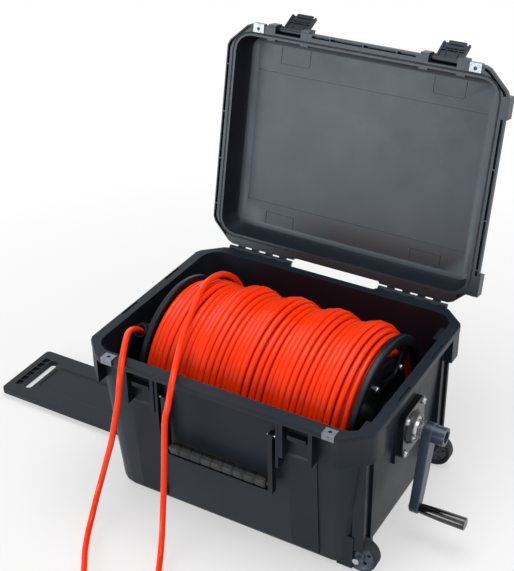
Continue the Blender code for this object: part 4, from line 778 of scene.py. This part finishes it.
def drum_disc(word, side, face):
    """End disc of the drum: proud outer ring, recessed web, hub boss and four rounded openings."""
    outside = face + side * FLANGE_THICKNESS
    web = outside - side * WEB_RECESS
    boss = outside + side * BOSS_HEIGHT
    bead = web + side * 0.0008
    bore = SHAFT_RADIUS + BORE_PLAY
    profile = [
        (face, bore), (boss - side * 0.0005, bore), (boss, bore + 0.0006),
        (boss, BOSS_RADIUS - 0.0012), (boss - side * 0.0008, BOSS_RADIUS),
        (web + side * 0.0012, BOSS_RADIUS + 0.0066), (web, BOSS_RADIUS + 0.0085),
        (web, 0.08), (bead, 0.0806), (bead, 0.083), (web, 0.0836),
        (web, CUTOUT_OUTER + 0.0005), (outside - side * 0.0006, CUTOUT_OUTER + 0.0018),
        (outside, CUTOUT_OUTER + 0.0026), (outside, FLANGE_RADIUS - 0.0032),
        (outside - side * 0.0008, FLANGE_RADIUS - 0.0012), (outside - side * 0.003, FLANGE_RADIUS),
        (face + side * 0.0022, FLANGE_RADIUS), (face, FLANGE_RADIUS - 0.002),
    ]
    mesh = turned_mesh("disc_" + word, profile, DISC_STEPS, (0, 0, AXIS_Z), (1, 0, 0))
    body = into_scene(mesh.name, mesh)
    low, high = face - CUT_REACH, face + CUT_REACH
    cutters = [kidney(f"opening_{word}_{index}", radians(degrees), low, high)
               for index, degrees in enumerate(CUTOUT_DEGREES)]
    bm = bmesh.new()
    hole = [(-CUT_REACH, 0.0), (-CUT_REACH, TIE_HOLE_RADIUS), (CUT_REACH, TIE_HOLE_RADIUS), (CUT_REACH, 0.0)]
    for degrees in TIE_BOLT_DEGREES:
        place = round_axis(face, TIE_BOLT_CIRCLE, radians(degrees))
        turn_into(bm, hole, HOLE_SIDES, place, (1, 0, 0))
    cutters.append(into_scene("tie_holes_" + word, finished_mesh("tie_holes_" + word, bm)))
    mesh = cut_mesh(body, cutters)
    mesh.name = "drum_disc_" + word
    new_piece("drum_disc_" + word, mesh, "drum", "drum", "drum_plastic", 35, "drum_flange_" + word)


def connector_grip(along, step):
    """Depth of the grip flutes on the connector's body and of the fine knurling on its ring."""
    if 0.0435 <= along <= 0.0705:
        return 0.0009 * (0.5 - 0.5 * cos(tau * GRIP_FLUTES * step / CONNECTOR_STEPS))
    if 0.0755 <= along <= 0.0905:
        return 0.0005 * (step % 2)
    return 0.0


def connector_shell_profile(socket):
    """Ribbed boot, body, ring and open end of a connector, as pairs of distance and radius."""
    boot = [(0.0, 0.0), (0.0, 0.008)]
    for rib in range(BOOT_RIBS):
        start = 0.0015 + rib * RIB_PITCH
        swell = 0.0086 + rib * 0.00115
        boot += [(start, swell - 0.0006), (start + 0.0006, swell), (start + 0.0042, swell + 0.0003),
                 (start + 0.0048, swell - 0.0006), (start + 0.0072, swell - 0.0006)]
    body = [(0.041, 0.014), (0.0425, 0.0152), (0.0436, CONNECTOR_RADIUS), (0.07, CONNECTOR_RADIUS),
            (0.0715, 0.0152), (0.0722, 0.0143), (0.0745, 0.0143), (0.075, 0.015),
            (0.0758, CONNECTOR_RADIUS), (0.0902, CONNECTOR_RADIUS), (0.0912, 0.015),
            (CONNECTOR_LENGTH - 0.0015, 0.0148), (CONNECTOR_LENGTH, 0.0136)]
    if socket:
        end = ((0.0, 0.0124), (-0.001, 0.012), (-0.02, 0.012), (-0.02, 0.0))
    else:
        end = ((0.0, 0.0116), (0.0148, 0.0115), (0.016, 0.0105), (0.016, 0.0095), (0.004, 0.0092),
               (0.004, 0.0))
    return boot + body + from_mouth(end)


def from_mouth(pairs):
    """The same pairs with their distances taken from the connector's mouth."""
    return [(CONNECTOR_LENGTH + along, radius) for along, radius in pairs]


def connector(word, place, direction, socket):
    """Rubber-bodied inline connector: ribbed boot, fluted body, knurled ring and contacts."""
    if socket:
        insert = ((-0.0195, 0.0), (-0.0195, 0.0112), (-0.0065, 0.0112), (-0.006, 0.0106), (-0.006, 0.0))
        contact = ((-0.0065, 0.0024), (-0.0048, 0.0024), (-0.0048, 0.0014), (-0.0065, 0.0014))
        contact_circle = 0.006
    else:
        insert = ((0.0045, 0.0), (0.0045, 0.0088), (0.006, 0.0088), (0.0064, 0.0084), (0.0064, 0.0))
        contact = ((0.006, 0.0), (0.006, 0.0014), (0.014, 0.0014), (0.015, 0.0008), (0.015, 0.0))
        contact_circle = 0.005
    name = "connector_shell_" + word
    profile = connector_shell_profile(socket)
    mesh = turned_mesh(name, profile, CONNECTOR_STEPS, place, direction, connector_grip)
    shell = new_piece(name, mesh, "connector", "case", "connector_rubber", 40, "connector_" + word)
    name = "connector_insert_" + word
    mesh = turned_mesh(name, from_mouth(insert), INSERT_SIDES, place, direction)
    inside = new_piece(name, mesh, "insulator", "case", "connector_rubber", 40)
    bm = bmesh.new()
    _, side, other = directions_across(direction)
    for index in range(CONTACTS):
        angle = tau * index / CONTACTS + 0.4
        centre = Vector(place) + (side * cos(angle) + other * sin(angle)) * contact_circle
        turn_into(bm, from_mouth(contact), CONTACT_SIDES, centre, direction)
    name = "connector_contacts_" + word
    contacts = new_piece(name, finished_mesh(name, bm), "steel", "case", "steel", 40)
    return [shell, inside, contacts]


def free_end(word, route, socket):
    """One free end of the cable with its connector."""
    diameter = bpy.context.scene.cable_reel_sizes.cable_diameter
    coarse, length = smooth_route(route, COARSE_STEP)
    fine = smooth_route(route, FINE_STEP)[0]
    mesh = swept_mesh("cord_" + word, fine, diameter / 2, CORD_SIDES)
    cord = new_piece("cord_" + word, mesh, "cable", "case", "cable_jacket", CABLE_SHARP, "tail_" + word)
    direction = (coarse[-1] - coarse[-2]).normalized()
    pieces = connector(word, coarse[-1] + direction * CONNECTOR_GAP, direction, socket)


def bearing_bolts(word, side):
    """Four socket screws with washers on the bearing plate."""
    half = BOLT_SPACING / 2
    axis = (side, 0, 0)
    washer = [(-0.0013, 0.0046), (-0.0013, WASHER_RADIUS), (-0.001, WASHER_RADIUS + 0.0003),
              (-0.0003, WASHER_RADIUS + 0.0003), (-0.0001, WASHER_RADIUS), (-0.0001, 0.0046)]
    for label, dy, dz in (("front_top", -half, half), ("front_bottom", -half, -half),
                          ("back_top", half, half), ("back_bottom", half, -half)):
        bm = bmesh.new()
        head = (side * (PAD_X + PLATE_THICKNESS + PLATE_WASHER), dy, AXIS_Z + dz)
        screw_into(bm, head, axis, PLATE_THICKNESS + PLATE_SCREW_REACH, **PLATE_SCREW)
        turn_into(bm, washer, WASHER_SIDES, head, axis)
        name = f"plate_bolt_{word}_{label}"
        new_piece(name, finished_mesh(name, bm), "zinc", "case", "steel", 32, f"bolt_{word}_{label}")


def tie_bolts():
    """Four tie bolts through the drum, a socket head and washer at each disc."""
    start = DRUM_LEFT - FLANGE_THICKNESS + WEB_RECESS
    end = DRUM_RIGHT + FLANGE_THICKNESS - WEB_RECESS
    length = (end - start) / 2 - 0.002
    washer = [(-0.0011, 0.0045), (-0.0011, WASHER_RADIUS), (-0.0002, WASHER_RADIUS), (-0.0002, 0.0045)]
    for index, degrees in enumerate(TIE_BOLT_DEGREES):
        bm = bmesh.new()
        for x, side in ((start, -1), (end, 1)):
            head = round_axis(x + side * TIE_WASHER, TIE_BOLT_CIRCLE, radians(degrees))
            screw_into(bm, head, (side, 0, 0), length, **TIE_SCREW)
            turn_into(bm, washer, WASHER_SIDES, head, (side, 0, 0))
        name = f"tie_rod_{index + 1}"
        new_piece(name, finished_mesh(name, bm), "zinc", "drum", "steel", 32, f"tie_bolt_{index + 1}")


def hinge_spacer(word):
    """Nylon tube over the hinge pin that shows in the gaps between the knuckles."""
    tube = [(0.0, PIN_BORE), (0.0, SPACER_RADIUS), (SPACER_LENGTH, SPACER_RADIUS), (SPACER_LENGTH, PIN_BORE)]
    name = "hinge_spacer_" + word
    mesh = turned_mesh(name, tube, SPACER_SIDES, (HINGE_STARTS[word], HINGE_Y, HINGE_Z), (1, 0, 0))
    new_piece(name, mesh, "nylon", "case", "moving_nylon", 40)


# Stage and camera

def softbox(name, place, width, height, power):
    """Rectangular studio lamp aimed at the middle of the object."""
    data = bpy.data.lights.new(name, "AREA")
    data.shape = "RECTANGLE"
    data.size = width
    data.size_y = height
    data.energy = power
    lamp = into_scene(name, data)
    lamp.location = place
    lamp.rotation_euler = (Vector(LAMP_TARGET) - Vector(place)).to_track_quat("-Z", "Y").to_euler()


def place_camera():
    """Camera of the photograph: no shift, no depth of field."""
    forward = Vector((-sin(CAMERA_YAW) * cos(CAMERA_PITCH), cos(CAMERA_YAW) * cos(CAMERA_PITCH),
                      sin(CAMERA_PITCH)))
    level = Vector((cos(CAMERA_YAW), sin(CAMERA_YAW), 0))
    upright = level.cross(forward)
    right = level * cos(CAMERA_ROLL) + upright * sin(CAMERA_ROLL)
    up = upright * cos(CAMERA_ROLL) - level * sin(CAMERA_ROLL)
    data = bpy.data.cameras.new("camera")
    data.sensor_width = 36.0
    data.lens = CAMERA_LENS
    data.clip_start = 0.05
    data.clip_end = 50.0
    camera = into_scene("camera", data)
    turn = Matrix((right, up, -forward)).transposed()
    camera.matrix_world = Matrix.Translation(CAMERA_PLACE) @ turn.to_4x4()
    bpy.context.scene.camera = camera


def seen_directly(tree):
    """1 for rays from the camera and for reflections and refractions, 0 for rays that light things."""
    path = add(tree, "ShaderNodeLightPath")
    first = add(tree, "ShaderNodeMath",
                {0: path.outputs["Is Camera Ray"], 1: path.outputs["Is Glossy Ray"]}, operation="MAXIMUM")
    return add(tree, "ShaderNodeMath",
               {0: first, 1: path.outputs["Is Transmission Ray"]}, operation="MAXIMUM")


def make_floor():
    """Pale floor that keeps the shadow near the object and is white farther away."""
    finish, tree, place = new_finish("pale floor")
    matt = add(tree, "ShaderNodeBsdfDiffuse", {"Color": (0.86, 0.86, 0.86)})
    white = add(tree, "ShaderNodeEmission", {"Color": WHITE, "Strength": 1.0})
    away = add(tree, "ShaderNodeVectorMath", {0: place}, operation="LENGTH")
    glow = add(tree, "ShaderNodeMapRange",
               {"Value": away.outputs["Value"], "From Min": 0.5, "From Max": 1.5, "To Min": 0.5})
    share = add(tree, "ShaderNodeMath", {0: seen_directly(tree), 1: glow}, operation="MULTIPLY")
    both = add(tree, "ShaderNodeMixShader", {0: share, 1: matt, 2: white})
    add(tree, "ShaderNodeOutputMaterial", {"Surface": both})
    bm = bmesh.new()
    bmesh.ops.create_grid(bm, x_segments=1, y_segments=1, size=FLOOR_HALF)
    mesh = finished_mesh("floor", bm)
    mesh.materials.append(finish)
    floor = into_scene("floor", mesh)
    floor.location.z = -FLOOR_GAP


def make_world():
    """Soft grey light from all round, seen as white."""
    world = bpy.data.worlds.new("studio")
    bpy.context.scene.world = world
    world.use_nodes = True
    tree = world.node_tree
    tree.nodes.clear()
    strength = add(tree, "ShaderNodeMapRange", {"Value": seen_directly(tree), "To Min": AMBIENT})
    sky = add(tree, "ShaderNodeBackground", {"Color": WHITE, "Strength": strength})
    add(tree, "ShaderNodeOutputWorld", {"Surface": sky})


# Panel settings

SWATCH = {"subtype": "COLOR", "size": 3, "min": 0.0, "max": 1.0}


class CableReelColours(bpy.types.PropertyGroup):
    """Colours that an owner of the reel would change."""
    case_plastic: FloatVectorProperty(
        name="Case plastic", description="Colour of the moulded case and lid",
        default=linear("#151B23"), **SWATCH)
    fitting_nylon: FloatVectorProperty(
        name="Latches and handle", description="Colour of the moving nylon fittings",
        default=linear("#10151C"), **SWATCH)
    drum_plastic: FloatVectorProperty(
        name="Drum", description="Colour of the drum discs and barrel", default=linear("#0D1117"), **SWATCH)
    cable_jacket: FloatVectorProperty(
        name="Cable", description="Colour of the cable's jacket", default=linear("#FF3B0A"), **SWATCH)
    bearing_paint: FloatVectorProperty(
        name="Bearing housings", description="Paint on the cast bearing housings",
        default=linear("#0B0D11"), **SWATCH)
    crank_paint: FloatVectorProperty(
        name="Crank", description="Paint on the crank arm", default=linear("#26364A"), **SWATCH)


class CableReelSizes(bpy.types.PropertyGroup):
    """Sizes and counts that shape the wound cable."""
    cable_diameter: FloatProperty(
        name="Cable diameter", description="Outside diameter of the cable", unit="LENGTH",
        default=0.013, min=0.005, max=0.02, precision=4)
    under_layers: IntProperty(
        name="Under layers", description="Layers of cable below the outer one", default=4, min=1, max=6)
    outer_turns: IntProperty(
        name="Outer turns", description="Turns in the outer layer", default=35, min=20, max=45)
    winding_seed: IntProperty(
        name="Winding seed", description="Changes how the outer turns crowd", default=7, min=0)


# Operators

class CABLEREEL_OT_stage(bpy.types.Operator):
    """Set the floor, the soft lamps, the white background and the camera"""
    bl_idname = "cable_reel.stage"
    bl_label = "Stage"

    def execute(self, context):
        make_floor()
        make_world()
        for lamp in LAMPS:
            softbox(*lamp)
        place_camera()
        context.scene.view_settings.view_transform = "Standard"
        return {"FINISHED"}


class CABLEREEL_OT_cable_ends(bpy.types.Operator):
    """Lay the two free ends of the cable over the rim, each with its connector"""
    bl_idname = "cable_reel.cable_ends"
    bl_label = "Cable ends"

    def execute(self, context):
        free_end("left", LEFT_TAIL, True)
        route = right_tail_route()
        free_end("right", route, False)
        return {"FINISHED"}


class CABLEREEL_OT_winding(bpy.types.Operator):
    """Wind the cable on the drum, layer on layer, as one unbroken tube"""
    bl_idname = "cable_reel.winding"
    bl_label = "Wound cable"

    def execute(self, context):
        sizes = context.scene.cable_reel_sizes
        line = wound_line(sizes.cable_diameter, sizes.under_layers, sizes.outer_turns, sizes.winding_seed)
        mesh = swept_mesh("winding", line, sizes.cable_diameter / 2, WINDING_SIDES)
        new_piece("winding", mesh, "cable", "drum", "cable_jacket", CABLE_SHARP,
                  "wound_cable", "cable_inner_layers")
        return {"FINISHED"}


class CABLEREEL_OT_case(bpy.types.Operator):
    """Finish the moulded case and lid, their seal and hinge pins, and add the hinge spacers"""
    bl_idname = "cable_reel.case"
    bl_label = "Case and lid"

    def execute(self, context):
        dress("case", 0.8, "base_shell")
        dress("lid", 0.8, "lid_shell")
        dress("case", 0.6, "tow_cover")
        dress("seal", 0, "lid_seal")
        for word in ("left", "right"):
            dress("zinc", 0, "hinge_pin_" + word)
            hinge_spacer(word)
        return {"FINISHED"}


class CABLEREEL_OT_latches(bpy.types.Operator):
    """Finish the latches and the stainless padlock plates"""
    bl_idname = "cable_reel.latches"
    bl_label = "Latches and hasps"

    def execute(self, context):
        for word in ("left", "right"):
            dress("nylon", 0.5, "latch_" + word, "latch_trigger_" + word)
            dress("zinc", 0, "latch_pin_" + word)
            dress("hasp", 0.4, "hasp_base_" + word, "hasp_lid_" + word)
        return {"FINISHED"}


class CABLEREEL_OT_handles(bpy.types.Operator):
    """Finish the carry handle with its sleeve and the pull-out handle"""
    bl_idname = "cable_reel.handles"
    bl_label = "Handles"

    def execute(self, context):
        dress("nylon", 0.6, "front_handle", "tow_handle")
        dress("grip_rubber", 0.6, "front_grip")
        dress("zinc", 0.3, "handle_pin_left", "handle_pin_right")
        return {"FINISHED"}


class CABLEREEL_OT_wheels(bpy.types.Operator):
    """Finish the two wheels with tyres and axles"""
    bl_idname = "cable_reel.wheels"
    bl_label = "Wheels"

    def execute(self, context):
        for word in ("front", "back"):
            dress("wheel", 0.5, "wheel_" + word)
            dress("tyre", 0.6, "tyre_" + word)
            dress("zinc", 0.4, "axle_" + word)
        return {"FINISHED"}


class CABLEREEL_OT_drum(bpy.types.Operator):
    """Build the drum discs with their openings and tie bolts, and finish barrel and shaft"""
    bl_idname = "cable_reel.drum"
    bl_label = "Drum"

    def execute(self, context):
        drum_disc("left", -1, DRUM_LEFT)
        drum_disc("right", 1, DRUM_RIGHT)
        tie_bolts()
        dress("drum", 0.5, "drum_barrel")
        dress("steel", 0.5, "drum_shaft", "shaft_collar")
        return {"FINISHED"}


class CABLEREEL_OT_bearings(bpy.types.Operator):
    """Finish the bearing housings and inserts and set their bolts"""
    bl_idname = "cable_reel.bearings"
    bl_label = "Bearings"

    def execute(self, context):
        for word, side in (("left", -1), ("right", 1)):
            dress("cast", 0.8, f"bearing_{word}_housing")
            dress("steel", 0.3, f"bearing_{word}_insert")
            bearing_bolts(word, side)
        return {"FINISHED"}


class CABLEREEL_OT_crank(bpy.types.Operator):
    """Finish the crank arm, its spindle, the turning grip and the cable guide"""
    bl_idname = "cable_reel.crank"
    bl_label = "Crank"

    def execute(self, context):
        dress("crank", 1.0, "crank_arm")
        dress("zinc", 0.4, "crank_spindle")
        dress("grip", 0.5, "crank_grip")
        dress("drum", 0.6, "cable_guide")
        return {"FINISHED"}


class CABLEREEL_PT_panel(bpy.types.Panel):
    """Cable reel settings and steps"""
    bl_label = "Cable Reel"
    bl_idname = "CABLEREEL_PT_panel"
    bl_space_type = "VIEW_3D"
    bl_region_type = "UI"
    bl_category = "Cable Reel"

    def draw(self, context):
        layout = self.layout
        for group in (context.scene.cable_reel_colours, context.scene.cable_reel_sizes):
            box = layout.box()
            for name in group.__annotations__:
                box.prop(group, name)
        for operator in STEPS:
            layout.operator(operator.bl_idname)


STEPS = (
    CABLEREEL_OT_stage, CABLEREEL_OT_cable_ends, CABLEREEL_OT_winding, CABLEREEL_OT_case,
    CABLEREEL_OT_latches, CABLEREEL_OT_handles, CABLEREEL_OT_wheels, CABLEREEL_OT_drum,
    CABLEREEL_OT_bearings, CABLEREEL_OT_crank,
)
CLASSES = (CableReelColours, CableReelSizes, *STEPS, CABLEREEL_PT_panel)


def register():
    for made in CLASSES:
        bpy.utils.register_class(made)
    bpy.types.Scene.cable_reel_colours = PointerProperty(type=CableReelColours)
    bpy.types.Scene.cable_reel_sizes = PointerProperty(type=CableReelSizes)


def unregister():
    del bpy.types.Scene.cable_reel_sizes
    del bpy.types.Scene.cable_reel_colours
    for made in reversed(CLASSES):
        bpy.utils.unregister_class(made)


def main():
    register()
    for operator in STEPS:
        group, name = operator.bl_idname.split(".")
        getattr(getattr(bpy.ops, group), name)()


if __name__ == "__main__":
    main()
